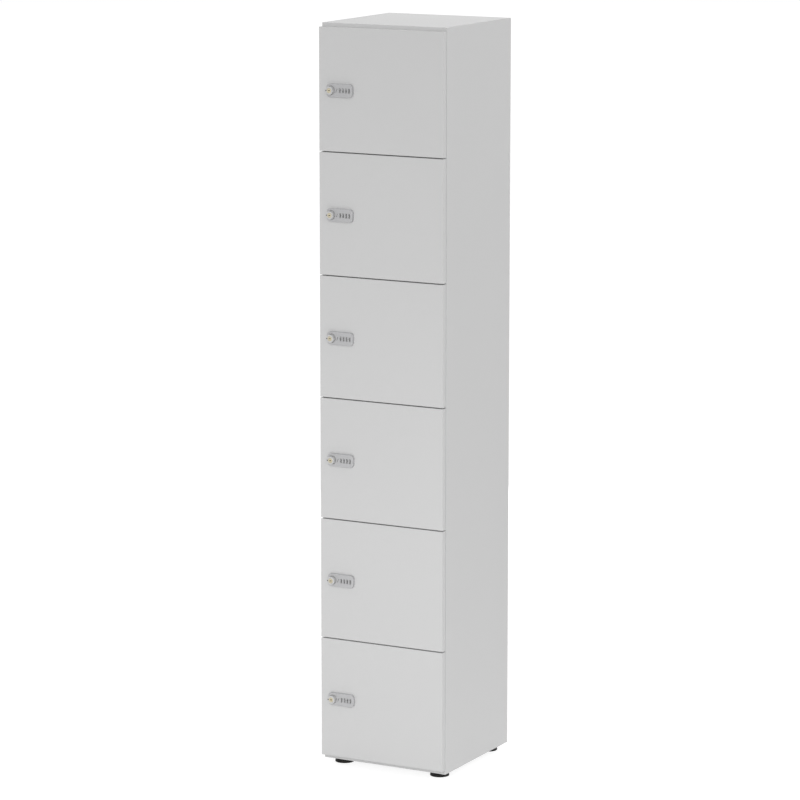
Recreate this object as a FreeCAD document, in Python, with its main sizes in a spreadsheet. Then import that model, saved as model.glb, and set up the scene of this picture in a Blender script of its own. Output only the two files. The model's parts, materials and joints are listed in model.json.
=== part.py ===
# Six-door office locker in melamine-faced board: a carcass of two sides, top, bottom, back and
# five shelves, six overlay doors on concealed cup hinges, a code lock in each door, and four feet.
# Frame in millimetres: the origin is on the floor under the middle, +Z up, the doors face -Y,
# and +X is on the right of someone who stands in front of the doors.
import FreeCAD, Part
import Sketcher
import os

COMPARTMENTS = 6
WHEELS = 4
WHEEL_NOTCHES = 10

SIZES = (
    ("carcass_width", 400, "outside width over both sides"),
    ("carcass_depth", 400, "depth of the sides"),
    ("carcass_height", 2160, "height of the sides"),
    ("board", 19, "thickness of the sides, top, bottom and shelves"),
    ("back_thickness", 8, "thickness of the back panel"),
    ("back_inset", 10, "rear edge of the sides to the back panel"),
    ("groove_depth", 8, "depth of the groove that holds the back panel"),
    ("groove_clearance", 0.2, "back panel to each wall of its groove, and to the shelves"),
    ("shelf_setback", 2, "front edge of the sides to the front edge of the shelves"),
    ("edge_radius", 1, "rounding of the front edges"),
    ("door_thickness", 18, "thickness of a door"),
    ("door_gap", 2, "front edge of the carcass to the back of a door"),
    ("door_seam", 3, "gap between two doors"),
    ("side_reveal", 0.5, "outside of the carcass to the side edge of a door"),
    ("top_reveal", 11, "top of the carcass to the top door"),
    ("bottom_reveal", 13, "bottom of the carcass to the lowest door"),
    ("fitting_diameter", 15, "diameter of a connector housing"),
    ("fitting_depth", 12.5, "depth of a connector housing"),
    ("fitting_inset", 34, "end of a board to a connector's axis"),
    ("fitting_setback", 60, "front or rear edge of the sides to a connector's axis"),
    ("fitting_clearance", 0.1, "connector housing to the wall and bottom of its bore"),
    ("fitting_slot_width", 2.5, "width of the screwdriver slot in a connector"),
    ("fitting_slot_depth", 2, "depth of the screwdriver slot in a connector"),
    ("hinge_inset", 75, "upper or lower edge of a door to the middle of a hinge"),
    ("cup_diameter", 35, "bore for a hinge cup"),
    ("cup_clearance", 0.1, "hinge cup to its bore"),
    ("cup_depth", 12.5, "depth of a hinge cup"),
    ("cup_wall", 0.6, "wall of a hinge cup"),
    ("flange_thickness", 0.8, "thickness of the cup's flange on the back of the door"),
    ("flange_margin", 0.8, "width of the flange round the cup"),
    ("ear_length", 56, "upright length over the cup's two screw ears"),
    ("ear_width", 14, "width of a screw ear"),
    ("ear_corner", 5, "corner radius of a screw ear"),
    ("pin_diameter", 1.8, "diameter of a hinge pin"),
    ("pin_depth", 9.5, "back of the door to the hinge pin's axis"),
    ("pin_clearance", 0.06, "running clearance between pin and knuckle"),
    ("swing_clearance", 0.3, "back corner of a swinging door to the side panel"),
    ("knuckle_wall", 1, "wall of the knuckle round the pin"),
    ("knuckle_clearance", 0.4, "knuckle to the cup and its cheeks"),
    ("cheek_thickness", 2.5, "thickness of a cheek that holds the pin"),
    ("cheek_margin", 1.2, "cheek round the pin"),
    ("nose_width", 6, "upright width of the arm's hooked nose"),
    ("nose_thickness", 2.3, "thickness of the hook that reaches the pin"),
    ("nose_column", 3, "thickness of the nose where it leaves the arm"),
    ("nose_bend", 2, "rounding of the bend in the hooked nose"),
    ("arm_width", 14, "upright width of a hinge arm"),
    ("arm_height", 11, "height of a hinge arm above its mounting plate"),
    ("arm_start", 6, "front edge of the side to the front of a hinge arm"),
    ("arm_length", 56, "length of a hinge arm"),
    ("arm_taper", 10, "length over which a hinge arm narrows to its nose"),
    ("arm_sheet", 1.5, "sheet that a hinge arm is pressed from"),
    ("arm_bend", 2, "rounding of a hinge arm's long edges"),
    ("plate_thickness", 3, "thickness of a hinge's mounting plate"),
    ("plate_length", 50, "upright length of a mounting plate"),
    ("plate_width", 18, "width of a mounting plate"),
    ("plate_setback", 28, "front edge of the side to a mounting plate"),
    ("plate_corner", 5, "corner radius of a mounting plate"),
    ("rib_length", 36, "length of the mounting plate's rib under the arm"),
    ("rib_clearance", 0.2, "mounting plate's rib to the arm's side walls"),
    ("lock_inset", 43.5, "free edge of a door to the knob's axis"),
    ("lock_drop", 178, "upper edge of a door to the knob's axis"),
    ("lock_length", 84, "length of the lock's front case"),
    ("lock_overhang", 15.5, "knob's axis to the case's end by the door's free edge"),
    ("lock_height", 38, "height of the lock's front case"),
    ("lock_thickness", 10, "thickness of the lock's front case"),
    ("lock_corner", 11, "corner radius of the lock's front case"),
    ("lock_rim", 2.5, "rounding of the case's front rim"),
    ("lock_wall", 1.5, "front wall of the case over the wheels"),
    ("seat_diameter", 25.5, "diameter of the round recess that the knob sits in"),
    ("seat_depth", 3, "depth of that recess in the case"),
    ("knob_diameter", 23.5, "diameter of the knob"),
    ("knob_projection", 11, "front of the case to the knob's face"),
    ("knob_gap", 0.4, "floor of the knob's seat to the back of the knob"),
    ("knob_rim", 0.6, "rounding of the knob's front rim"),
    ("barrel_diameter", 17, "diameter of the barrel that carries the knob"),
    ("barrel_clearance", 0.1, "running clearance of the barrel"),
    ("barrel_hole_margin", 1, "barrel to its hole in the door"),
    ("plug_diameter", 14.5, "diameter of the key plug"),
    ("plug_depth", 6, "depth of the key plug in the knob"),
    ("plug_clearance", 0.05, "key plug to the knob"),
    ("keyway_width", 1.6, "width of the key slot"),
    ("keyway_length", 6.5, "length of the key slot, level while the lock is open"),
    ("keyway_depth", 3, "depth of the key slot"),
    ("dot_diameter", 3.6, "diameter of the index dot's recess in the knob"),
    ("dot_depth", 0.5, "depth of the index dot's recess"),
    ("wheel_diameter", 14, "diameter of a code wheel"),
    ("wheel_width", 3.6, "width of a code wheel"),
    ("wheel_pitch", 9.8, "middle of one code wheel to the next"),
    ("wheel_offset", 29.3, "knob's axis to the middle of the first wheel"),
    ("wheel_proud", 2, "code wheel above the front of the case"),
    ("wheel_clearance", 0.4, "code wheel to its window"),
    ("wheel_room", 1, "code wheel to the walls behind its window"),
    ("notch_depth", 0.8, "depth of the finger notches in a code wheel"),
    ("notch_width", 1.5, "width of the finger notches in a code wheel"),
    ("axle_diameter", 3, "diameter of the wheels' axle"),
    ("axle_clearance", 0.08, "running clearance of a wheel on its axle"),
    ("rear_length", 58, "length of the lock's rear case"),
    ("rear_overhang", 15, "knob's axis to the rear case's end by the door's free edge"),
    ("rear_height", 34, "height of the lock's rear case"),
    ("rear_thickness", 8, "thickness of the lock's rear case"),
    ("rear_corner", 6, "corner radius of the lock's rear case"),
    ("rear_rim", 1.5, "rounding of the rear case's rim"),
    ("latch_width", 12, "width of the latch cam"),
    ("latch_thickness", 3, "thickness of the latch cam"),
    ("latch_corner", 4, "corner radius of the latch cam"),
    ("latch_bite", 8, "how far the latch cam goes into the side panel"),
    ("latch_gap", 0.5, "rear case to the latch cam"),
    ("latch_clearance", 1, "latch cam to its slot in the side panel"),
    ("square_size", 8, "square end of the barrel that turns the latch cam"),
    ("screw_head_diameter", 12, "diameter of the screw head behind the latch cam"),
    ("screw_head_height", 3.5, "height of the screw head behind the latch cam"),
    ("foot_height", 17, "floor to the bottom of the carcass"),
    ("foot_diameter", 56, "diameter of a foot"),
    ("foot_taper", 2, "how much narrower the foot's top is, on the radius"),
    ("foot_lip", 3, "height of the upright lip round a foot's sole"),
    ("foot_edge", 1.2, "rounding of a foot's upper edge"),
    ("foot_side_inset", 42, "side of the carcass to a foot's axis"),
    ("foot_depth_inset", 45, "front or rear edge of the sides to a foot's axis"),
    ("foot_clearance", 0.3, "foot to its sleeve's flange when screwed right in"),
    ("spindle_diameter", 10, "diameter of a foot's spindle"),
    ("spindle_clearance", 0.08, "running clearance of a spindle in its sleeve"),
    ("spindle_recess", 2, "top of a spindle below the top of the bottom panel"),
    ("sleeve_diameter", 14, "diameter of a foot's sleeve"),
    ("sleeve_clearance", 0.05, "sleeve to its hole in the bottom panel"),
    ("sleeve_flange", 34, "diameter of the sleeve's flange"),
    ("sleeve_flange_thickness", 2.5, "thickness of the sleeve's flange"),
    ("hex_size", 5, "width of the hexagon socket in a spindle"),
    ("hex_depth", 5, "depth of the hexagon socket in a spindle"),
)

LAYOUT = (
    ("overall_depth", "sizes.carcass_depth + sizes.door_gap + sizes.door_thickness"
                      " + sizes.lock_thickness + sizes.knob_projection"),
    ("carcass_front", "layout.overall_depth / 2 - sizes.carcass_depth"),
    ("door_back", "layout.carcass_front - sizes.door_gap"),
    ("door_front", "layout.door_back - sizes.door_thickness"),
    ("carcass_top", "sizes.foot_height + sizes.carcass_height"),
    ("inner_width", "sizes.carcass_width - 2 * sizes.board"),
    ("door_width", "sizes.carcass_width - 2 * sizes.side_reveal"),
    ("door_height", "(sizes.carcass_height - sizes.top_reveal - sizes.bottom_reveal"
                    f" - {COMPARTMENTS - 1} * sizes.door_seam) / {COMPARTMENTS}"),
    ("door_pitch", "layout.door_height + sizes.door_seam"),
    ("top_door_bottom", "layout.carcass_top - sizes.top_reveal - layout.door_height"),
    ("top_shelf_bottom", "layout.top_door_bottom - sizes.door_seam / 2 - sizes.board / 2"),
    ("back_face", "sizes.carcass_depth - sizes.back_inset - sizes.back_thickness"),
    ("groove_front", "layout.back_face - sizes.groove_clearance"),
    ("groove_rear", "sizes.carcass_depth - sizes.back_inset + sizes.groove_clearance"),
    ("fitting_radius", "sizes.fitting_diameter / 2"),
    ("knuckle_radius", "sizes.pin_diameter / 2 + sizes.pin_clearance + sizes.knuckle_wall"),
    ("cup_radius", "sizes.cup_diameter / 2 - sizes.cup_clearance"),
    ("cavity_radius", "layout.cup_radius - sizes.cup_wall"),
    ("pin_setback", "sizes.door_gap + sizes.pin_depth"),
    ("pin_inset", "sqrt((sizes.door_gap - sizes.swing_clearance)"
                  " * (2 * layout.pin_setback - sizes.door_gap - sizes.swing_clearance))"),
    ("pin_offset", "sqrt(layout.cavity_radius ^ 2 - (sizes.nose_width / 2) ^ 2)"
                   " - layout.knuckle_radius - sizes.knuckle_clearance"),
    ("cup_inset", "layout.pin_inset + layout.pin_offset"),
    ("pin_x", "layout.door_width / 2 - layout.pin_inset"),
    ("side_face", "layout.inner_width / 2 - layout.pin_x"),
    ("arm_root", "layout.side_face - sizes.plate_thickness"),
    ("arm_face", "layout.arm_root - sizes.arm_height"),
    ("arm_front", "layout.pin_setback + sizes.arm_start"),
    ("arm_rear", "layout.arm_front + sizes.arm_length"),
    ("arm_shoulder", "layout.arm_front + sizes.arm_taper"),
    ("plate_front", "layout.pin_setback + sizes.plate_setback"),
    ("plate_rear", "layout.plate_front + sizes.plate_width"),
    ("rib_middle", "(layout.plate_front + layout.plate_rear) / 2"),
    ("cheek_start", "sizes.nose_width / 2 + sizes.knuckle_clearance"),
    ("cheek_far", "layout.cheek_start + sizes.cheek_thickness"),
    ("cheek_wall", "sqrt(layout.cup_radius ^ 2 - layout.cheek_far ^ 2) - sizes.cup_wall / 2"),
    ("lock_x", "sizes.lock_inset - layout.door_width / 2"),
    ("lock_z", "layout.door_height - sizes.lock_drop"),
    ("lock_end", "sizes.lock_length - sizes.lock_overhang"),
    ("knob_radius", "sizes.knob_diameter / 2"),
    ("knob_face", "sizes.lock_thickness + sizes.knob_projection"),
    ("barrel_radius", "sizes.barrel_diameter / 2"),
    ("latch_face", "sizes.door_thickness + sizes.rear_thickness + sizes.latch_gap"),
    ("latch_back", "layout.latch_face + sizes.latch_thickness"),
    ("latch_length", "sizes.lock_inset + sizes.side_reveal - sizes.board + sizes.latch_bite"),
    ("latch_reach", "sizes.lock_inset + sizes.side_reveal - sizes.board"),
    ("latch_sweep", "sqrt(layout.latch_length ^ 2 - layout.latch_reach ^ 2)"),
    ("latch_slot_front", "layout.latch_face - sizes.door_thickness - sizes.door_gap"
                         " - sizes.latch_clearance"),
    ("latch_slot_rear", "layout.latch_slot_front + sizes.latch_thickness + 2 * sizes.latch_clearance"),
    ("wheel_radius", "sizes.wheel_diameter / 2"),
    ("wheel_axis", "sizes.lock_thickness + sizes.wheel_proud - layout.wheel_radius"),
    ("wheel_sink", "layout.wheel_radius - layout.wheel_axis + sizes.wheel_room"),
    ("cavity_half", "layout.wheel_radius + sizes.wheel_room"),
    ("cavity_start", "sizes.wheel_offset - sizes.wheel_width / 2 - sizes.wheel_room"),
    ("cavity_end", f"sizes.wheel_offset + {WHEELS - 1} * sizes.wheel_pitch"
                   " + sizes.wheel_width / 2 + sizes.wheel_room"),
    ("window_half", "sqrt(layout.wheel_radius ^ 2 - (layout.wheel_radius - sizes.wheel_proud"
                    " - sizes.lock_wall) ^ 2) + sizes.wheel_clearance"),
    ("foot_top", "sizes.foot_height - sizes.sleeve_flange_thickness - sizes.foot_clearance"),
    ("foot_x", "sizes.carcass_width / 2 - sizes.foot_side_inset"),
    ("spindle_top", "sizes.foot_height + sizes.board - sizes.spindle_recess"),
)

doc = FreeCAD.newDocument("locker")
nodes = {}
cuts = []


def make_sheet(name, rows):
    """Adds a spreadsheet of named cells; a row is an alias, its content and a note."""
    sheet = doc.addObject("Spreadsheet::Sheet", name)
    for row, (alias, content, note) in enumerate(rows, start=1):
        sheet.set(f"A{row}", note)
        sheet.set(f"B{row}", content)
        sheet.setAlias(f"B{row}", alias)
    doc.recompute()
    return sheet


sizes = make_sheet("sizes", [(alias, str(size), note) for alias, size, note in SIZES])
layout = make_sheet("layout", [(alias, "=" + formula.replace("layout.", ""), "worked out")
                               for alias, formula in LAYOUT])


def value(expression):
    """Gives the number that an expression on the sheets comes to."""
    return float(sizes.evalExpression(expression))


def bind(target, **expressions):
    """Ties properties of an object to expressions; a double underscore stands for a dot."""
    for name, expression in expressions.items():
        target.setExpression(name.replace("__", "."), expression)


def place(target, x="0", y="0", z="0"):
    bind(target, Placement__Base__x=x, Placement__Base__y=y, Placement__Base__z=z)


def new_body(label, x="0", y="0", z="0"):
    body = doc.addObject("PartDesign::Body", label)
    body.Label = label
    place(body, x, y, z)
    return body


def sketch_on(body, plane, along="0"):
    """Adds a sketch parallel to a plane of the body, moved along the plane's normal."""
    sketch = body.newObject("Sketcher::SketchObject", f"{body.Name}_sketch")
    planes = [feature for feature in body.Origin.OriginFeatures if feature.Role == plane]
    sketch.AttachmentSupport = [(planes[0], "")]
    sketch.MapMode = "FlatFace"
    bind(sketch, AttachmentOffset__Base__z=along)
    return sketch


def fix_point(sketch, geometry, point, x, y):
    """Holds a point of the sketch at a place given by two expressions."""
    for kind, expression in (("DistanceX", x), ("DistanceY", y)):
        constraint = Sketcher.Constraint(kind, -1, 1, geometry, point, value(expression))
        index = sketch.addConstraint(constraint)
        sketch.setExpression(f"Constraints[{index}]", expression)


def polygon(sketch, *points):
    """Draws a closed outline of straight lines through points given as expressions."""
    corners = [FreeCAD.Vector(value(x), value(y), 0) for x, y in points]
    count = len(corners)
    first = sketch.GeometryCount
    for index in range(count):
        sketch.addGeometry(Part.LineSegment(corners[index], corners[(index + 1) % count]), False)
    for index in range(count):
        following = first + (index + 1) % count
        sketch.addConstraint(Sketcher.Constraint("Coincident", first + index, 2, following, 1))
    for index, (x, y) in enumerate(points):
        fix_point(sketch, first + index, 1, x, y)


def rectangle(sketch, left, bottom, right, top):
    polygon(sketch, (left, bottom), (right, bottom), (right, top), (left, top))


def circle(sketch, x, y, diameter):
    centre = FreeCAD.Vector(value(x), value(y), 0)
    upright = FreeCAD.Vector(0, 0, 1)
    geometry = sketch.addGeometry(Part.Circle(centre, upright, value(diameter) / 2), False)
    fix_point(sketch, geometry, 3, x, y)
    index = sketch.addConstraint(Sketcher.Constraint("Diameter", geometry, value(diameter)))
    sketch.setExpression(f"Constraints[{index}]", diameter)


def pad(body, sketch, length, symmetric=False, reverse=False):
    feature = body.newObject("PartDesign::Pad", f"{body.Name}_pad")
    feature.Profile = sketch
    feature.SideType = "Symmetric" if symmetric else "One side"
    feature.Reversed = reverse
    bind(feature, Length=length)
    return feature


def pocket(body, sketch, depth=None, reverse=False):
    """Cuts a sketch into the body, right through where no depth is given."""
    feature = body.newObject("PartDesign::Pocket", f"{body.Name}_pocket")
    feature.Profile = sketch
    feature.Reversed = reverse
    if depth is None:
        feature.Type = "ThroughAll"
    else:
        bind(feature, Length=depth)
    cuts.append(feature)
    return feature


def turned(body, sketch):
    """Spins a sketch right round its own upright axis."""
    feature = body.newObject("PartDesign::Revolution", f"{body.Name}_turned")
    feature.Profile = sketch
    feature.ReferenceAxis = (sketch, ["V_Axis"])
    feature.Angle = 360
    return feature


def rounded(body, base, radius, wanted):
    """Rounds the edges of a feature whose middle and direction pass a test."""
    doc.recompute()
    names = []
    for number, edge in enumerate(base.Shape.Edges, start=1):
        middle = edge.valueAt((edge.FirstParameter + edge.LastParameter) / 2)
        along = edge.tangentAt((edge.FirstParameter + edge.LastParameter) / 2)
        if wanted(middle, along):
            names.append(f"Edge{number}")
    feature = body.newObject("PartDesign::Fillet", f"{body.Name}_rounded")
    feature.Base = (base, names)
    bind(feature, Radius=radius)
    return feature


def copy_of(original, label, x="0", y="0", z="0"):
    """Repeats an object, moved from where the original stands."""
    copy = doc.addObject("App::Link", label)
    copy.Label = label
    copy.LinkedObject = original
    copy.LinkTransform = True
    place(copy, x, y, z)
    return copy


def group(label, members):
    """Puts several separate solids under one name."""
    compound = doc.addObject("Part::Compound", label)
    compound.Label = label
    compound.Links = members
    return compound


def near(number, target):
    return abs(number - target) < 1e-4


# Carcass boards
def side_panel(label, left):
    """One side of the carcass, with the groove for the back and, on the left, the latch slots."""
    corner = "-sizes.carcass_width / 2" if left else "sizes.carcass_width / 2 - sizes.board"
    body = new_body(label, corner, "layout.carcass_front", "sizes.foot_height")
    outline = sketch_on(body, "YZ_Plane")
    rectangle(outline, "0", "0", "sizes.carcass_depth", "sizes.carcass_height")
    board = pad(body, outline, "sizes.board")
    rounded(body, board, "sizes.edge_radius",
            lambda middle, along: near(middle.y, 0) and near(abs(along.z), 1))
    groove = sketch_on(body, "YZ_Plane", "sizes.board" if left else "0")
    end = "(sizes.board - sizes.groove_depth - sizes.groove_clearance)"
    rectangle(groove, "layout.groove_front", end,
              "layout.groove_rear", f"sizes.carcass_height - {end}")
    pocket(body, groove, "sizes.groove_depth", reverse=not left)
    if left:
        latch_slots(body)
    nodes[label] = body


def latch_slots(body):
    """Mills a slot for each latch cam into the inner face, as tall as the cam's sweep."""
    slot = sketch_on(body, "YZ_Plane", "sizes.board")
    level = "layout.top_door_bottom + layout.lock_z - sizes.foot_height"
    rectangle(slot,
              "layout.latch_slot_front", f"{level} - layout.latch_sweep - sizes.latch_clearance",
              "layout.latch_slot_rear", f"{level} + sizes.latch_width / 2 + sizes.latch_clearance")
    first = pocket(body, slot, "sizes.latch_bite + sizes.latch_clearance")
    doc.recompute()
    pattern = body.newObject("PartDesign::LinearPattern", f"{body.Name}_slots")
    pattern.Originals = [first]
    upright = [axis for axis in body.Origin.OriginFeatures if axis.Role == "Z_Axis"]
    pattern.Direction = (upright[0], [""])
    pattern.Reversed = True
    pattern.Occurrences = COMPARTMENTS
    bind(pattern, Length=f"{COMPARTMENTS - 1} * layout.door_pitch")
    body.Tip = pattern
    cuts.append(pattern)


def fitting_places():
    """Lists where the four connectors of a cross board sit, from the middle and the front."""
    reach = "layout.inner_width / 2 - sizes.fitting_inset"
    depths = ("sizes.fitting_setback", "sizes.carcass_depth - sizes.fitting_setback")
    return [(side + f"({reach})", depth) for side in ("-", "") for depth in depths]


def cross_board(label, bottom, front="0", rear="sizes.carcass_depth", groove=None, feet=False):
    """A board between the sides, bored from below for its connectors."""
    body = new_body(label, "0", "layout.carcass_front", bottom)
    half = "layout.inner_width / 2"
    outline = sketch_on(body, "XY_Plane")
    rectangle(outline, f"-{half}", front, half, rear)
    board = pad(body, outline, "sizes.board")
    rounded(body, board, "sizes.edge_radius",
            lambda middle, along: near(middle.y, value(front)) and near(abs(along.x), 1))
    bores = sketch_on(body, "XY_Plane")
    for x, y in fitting_places():
        circle(bores, x, y, "sizes.fitting_diameter + 2 * sizes.fitting_clearance")
    pocket(body, bores, "sizes.fitting_depth + sizes.fitting_clearance", reverse=True)
    if groove:
        slot = sketch_on(body, "YZ_Plane", f"-{half}")
        rectangle(slot, "layout.groove_front", groove[0], "layout.groove_rear", groove[1])
        pocket(body, slot, reverse=True)
    if feet:
        holes = sketch_on(body, "XY_Plane")
        for x in ("-layout.foot_x", "layout.foot_x"):
            for y in ("sizes.foot_depth_inset", "sizes.carcass_depth - sizes.foot_depth_inset"):
                circle(holes, x, y, "sizes.sleeve_diameter + 2 * sizes.sleeve_clearance")
        pocket(body, holes, reverse=True)
    return body


def back_panel():
    """The thin board that is let into all four boards round it."""
    body = new_body("back_panel", "0", "layout.carcass_front + layout.back_face",
                    "sizes.foot_height + sizes.board - sizes.groove_depth")
    half = "(layout.inner_width / 2 + sizes.groove_depth)"
    outline = sketch_on(body, "XZ_Plane")
    rectangle(outline, f"-{half}", "0", half,
              "sizes.carcass_height - 2 * sizes.board + 2 * sizes.groove_depth")
    pad(body, outline, "sizes.back_thickness", reverse=True)
    nodes["back_panel"] = body


def shelves():
    """The fixed shelves, each behind the seam between two doors."""
    shelf = cross_board("shelf", "layout.top_shelf_bottom", "sizes.shelf_setback",
                        "layout.groove_front")
    members = [copy_of(shelf, f"shelf_{number}", z=f"-{number - 1} * layout.door_pitch")
               for number in range(1, COMPARTMENTS)]
    nodes["shelves"] = group("shelves", members)


def connectors():
    """The housings under each cross board that pull it to the sides."""
    fitting = new_body("connector")
    outline = sketch_on(fitting, "XY_Plane")
    circle(outline, "0", "0", "sizes.fitting_diameter")
    pad(fitting, outline, "sizes.fitting_depth")
    slot = sketch_on(fitting, "XY_Plane")
    half = "sizes.fitting_slot_width / 2"
    rectangle(slot, "-layout.fitting_radius", f"-{half}", "layout.fitting_radius", half)
    pocket(fitting, slot, "sizes.fitting_slot_depth", reverse=True)
    levels = ["sizes.foot_height", "layout.carcass_top - sizes.board"]
    levels += [f"layout.top_shelf_bottom - {number} * layout.door_pitch"
               for number in range(COMPARTMENTS - 1)]
    members = []
    for level in levels:
        for x, y in fitting_places():
            label = f"connector_{len(members) + 1}"
            members.append(copy_of(fitting, label, x, f"layout.carcass_front + {y}", level))
    return members


# Hinges
def hinge_levels():
    """The heights of one door's two hinges above its lower edge."""
    return ("sizes.hinge_inset", "layout.door_height - sizes.hinge_inset")


def hinge_cup():
    """A cup with its flange, screw ears, cheeks and pin; the origin is on its axis, at the door."""
    body = new_body("hinge_cup")
    floor = "sizes.cup_wall - sizes.cup_depth"
    flange = "layout.cup_radius + sizes.flange_margin"
    profile = sketch_on(body, "XY_Plane")
    polygon(profile,
            ("0", "-sizes.cup_depth"), ("layout.cup_radius", "-sizes.cup_depth"),
            ("layout.cup_radius", "0"), (flange, "0"), (flange, "sizes.flange_thickness"),
            ("layout.cavity_radius", "sizes.flange_thickness"),
            ("layout.cavity_radius", floor), ("0", floor))
    turned(body, profile)
    ears = sketch_on(body, "XZ_Plane")
    for side in ("", "-"):
        rectangle(ears, "-sizes.ear_width / 2", f"{side}layout.cavity_radius",
                  "sizes.ear_width / 2", f"{side}sizes.ear_length / 2")
    flange_ears = pad(body, ears, "sizes.flange_thickness", reverse=True)
    ear_end = value("sizes.ear_length / 2")
    rounded(body, flange_ears, "sizes.ear_corner",
            lambda middle, along: near(abs(along.y), 1) and near(abs(middle.z), ear_end))
    around = "(sizes.pin_diameter / 2 + sizes.cheek_margin)"
    for start in ("layout.cheek_start", "-layout.cheek_far"):
        cheek = sketch_on(body, "XY_Plane", start)
        rectangle(cheek, f"layout.pin_offset - {around}", "sizes.cup_wall / 2 - sizes.cup_depth",
                  "layout.cheek_wall", f"{around} - sizes.pin_depth")
        pad(body, cheek, "sizes.cheek_thickness")
    pin = sketch_on(body, "XY_Plane")
    circle(pin, "layout.pin_offset", "-sizes.pin_depth", "sizes.pin_diameter")
    pad(body, pin, "2 * layout.cheek_far", symmetric=True)
    return body


def hinge_arm():
    """A pressed channel that narrows to a hooked nose round the pin; the origin is on the pin."""
    body = new_body("hinge_arm")
    wide = "sizes.arm_width / 2"
    narrow = "sizes.nose_width / 2"
    plan = sketch_on(body, "YZ_Plane", "layout.arm_root")
    polygon(plan,
            ("layout.arm_front", f"-{narrow}"), ("layout.arm_shoulder", f"-{wide}"),
            ("layout.arm_rear", f"-{wide}"), ("layout.arm_rear", wide),
            ("layout.arm_shoulder", wide), ("layout.arm_front", narrow))
    block = pad(body, plan, "sizes.arm_height", reverse=True)
    face = value("layout.arm_face")
    rounded(body, block, "sizes.arm_bend",
            lambda middle, along: near(middle.x, face) and not near(middle.z, 0))
    hollow = sketch_on(body, "YZ_Plane", "layout.arm_root")
    inner_front = "layout.arm_front + sizes.arm_sheet"
    inner_rear = "layout.arm_rear + sizes.arm_sheet"
    polygon(hollow,
            (inner_front, f"sizes.arm_sheet - {narrow}"),
            ("layout.arm_shoulder", f"sizes.arm_sheet - {wide}"),
            (inner_rear, f"sizes.arm_sheet - {wide}"), (inner_rear, f"{wide} - sizes.arm_sheet"),
            ("layout.arm_shoulder", f"{wide} - sizes.arm_sheet"),
            (inner_front, f"{narrow} - sizes.arm_sheet"))
    pocket(body, hollow, "sizes.arm_height - sizes.arm_sheet")
    column = "layout.arm_face + sizes.nose_column"
    half = "sizes.nose_thickness / 2"
    nose = sketch_on(body, "XY_Plane")
    polygon(nose,
            ("layout.arm_face", inner_front), ("layout.arm_face", f"-{half}"), ("0", f"-{half}"),
            ("0", half), (column, half), (column, inner_front))
    hook = pad(body, nose, "sizes.nose_width", symmetric=True)
    front = -value(half)
    rounded(body, hook, "sizes.nose_bend",
            lambda middle, along: near(middle.x, face) and near(middle.y, front))
    knuckle = sketch_on(body, "XY_Plane")
    circle(knuckle, "0", "0", "2 * layout.knuckle_radius")
    pad(body, knuckle, "sizes.nose_width", symmetric=True)
    bore = sketch_on(body, "XY_Plane", "sizes.nose_width / 2")
    circle(bore, "0", "0", "sizes.pin_diameter + 2 * sizes.pin_clearance")
    pocket(body, bore)
    return body


def mounting_plate():
    """The plate on the side panel, with the rib that the arm sits on; the origin is on the pin."""
    body = new_body("mounting_plate")
    outline = sketch_on(body, "YZ_Plane", "layout.side_face")
    rectangle(outline, "layout.plate_front", "-sizes.plate_length / 2",
              "layout.plate_rear", "sizes.plate_length / 2")
    wings = pad(body, outline, "sizes.plate_thickness", reverse=True)
    rounded(body, wings, "sizes.plate_corner", lambda middle, along: near(abs(along.x), 1))
    rib = sketch_on(body, "YZ_Plane", "layout.side_face")
    half = "(sizes.arm_width / 2 - sizes.arm_sheet - sizes.rib_clearance)"
    rectangle(rib, "layout.rib_middle - sizes.rib_length / 2", f"-{half}",
              "layout.rib_middle + sizes.rib_length / 2", half)
    pad(body, rib, "sizes.plate_thickness + sizes.arm_height - sizes.arm_sheet", reverse=True)
    return body


def hinges():
    """The arm and plate of every hinge on the right side panel, and the cups of the top door."""
    pieces = {"hinge_arm": hinge_arm(), "mounting_plate": mounting_plate()}
    fixed = []
    for door in range(COMPARTMENTS):
        for number, level in enumerate(hinge_levels(), start=1 + 2 * door):
            z = f"layout.top_door_bottom - {door} * layout.door_pitch + {level}"
            for name, piece in pieces.items():
                fixed.append(copy_of(piece, f"{name}_{number}", "layout.pin_x",
                                     "layout.door_back - sizes.pin_depth", z))
    nodes["hinge_arms"] = group("hinge_arms", fixed)
    cup = hinge_cup()
    cups = []
    for level in hinge_levels():
        cups.append(copy_of(cup, f"hinge_cup_{len(cups) + 1}", "layout.pin_x - layout.pin_offset",
                            "layout.door_back", f"layout.top_door_bottom + {level}"))
    return group("hinge_cups_1", cups)


# Doors and locks
def door_panel():
    """The top door, bored for its hinge cups, the lock's barrel and the wheels."""
    body = new_body("door_panel_1", "0", "layout.door_back", "layout.top_door_bottom")
    half = "layout.door_width / 2"
    outline = sketch_on(body, "XZ_Plane")
    rectangle(outline, f"-{half}", "0", half, "layout.door_height")
    board = pad(body, outline, "sizes.door_thickness")
    front = -value("sizes.door_thickness")
    rounded(body, board, "sizes.edge_radius", lambda middle, along: near(middle.y, front))
    bores = sketch_on(body, "XZ_Plane")
    for level in hinge_levels():
        circle(bores, f"{half} - layout.cup_inset", level, "sizes.cup_diameter")
    pocket(body, bores, "sizes.cup_depth + sizes.cup_clearance", reverse=True)
    hole = sketch_on(body, "XZ_Plane")
    circle(hole, "layout.lock_x", "layout.lock_z",
           "sizes.barrel_diameter + 2 * sizes.barrel_hole_margin")
    pocket(body, hole, reverse=True)
    recess = sketch_on(body, "XZ_Plane", "sizes.door_thickness")
    rectangle(recess,
              "layout.lock_x + layout.cavity_start", "layout.lock_z - layout.cavity_half",
              "layout.lock_x + layout.cavity_end", "layout.lock_z + layout.cavity_half")
    pocket(body, recess, "layout.wheel_sink")
    return body


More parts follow.
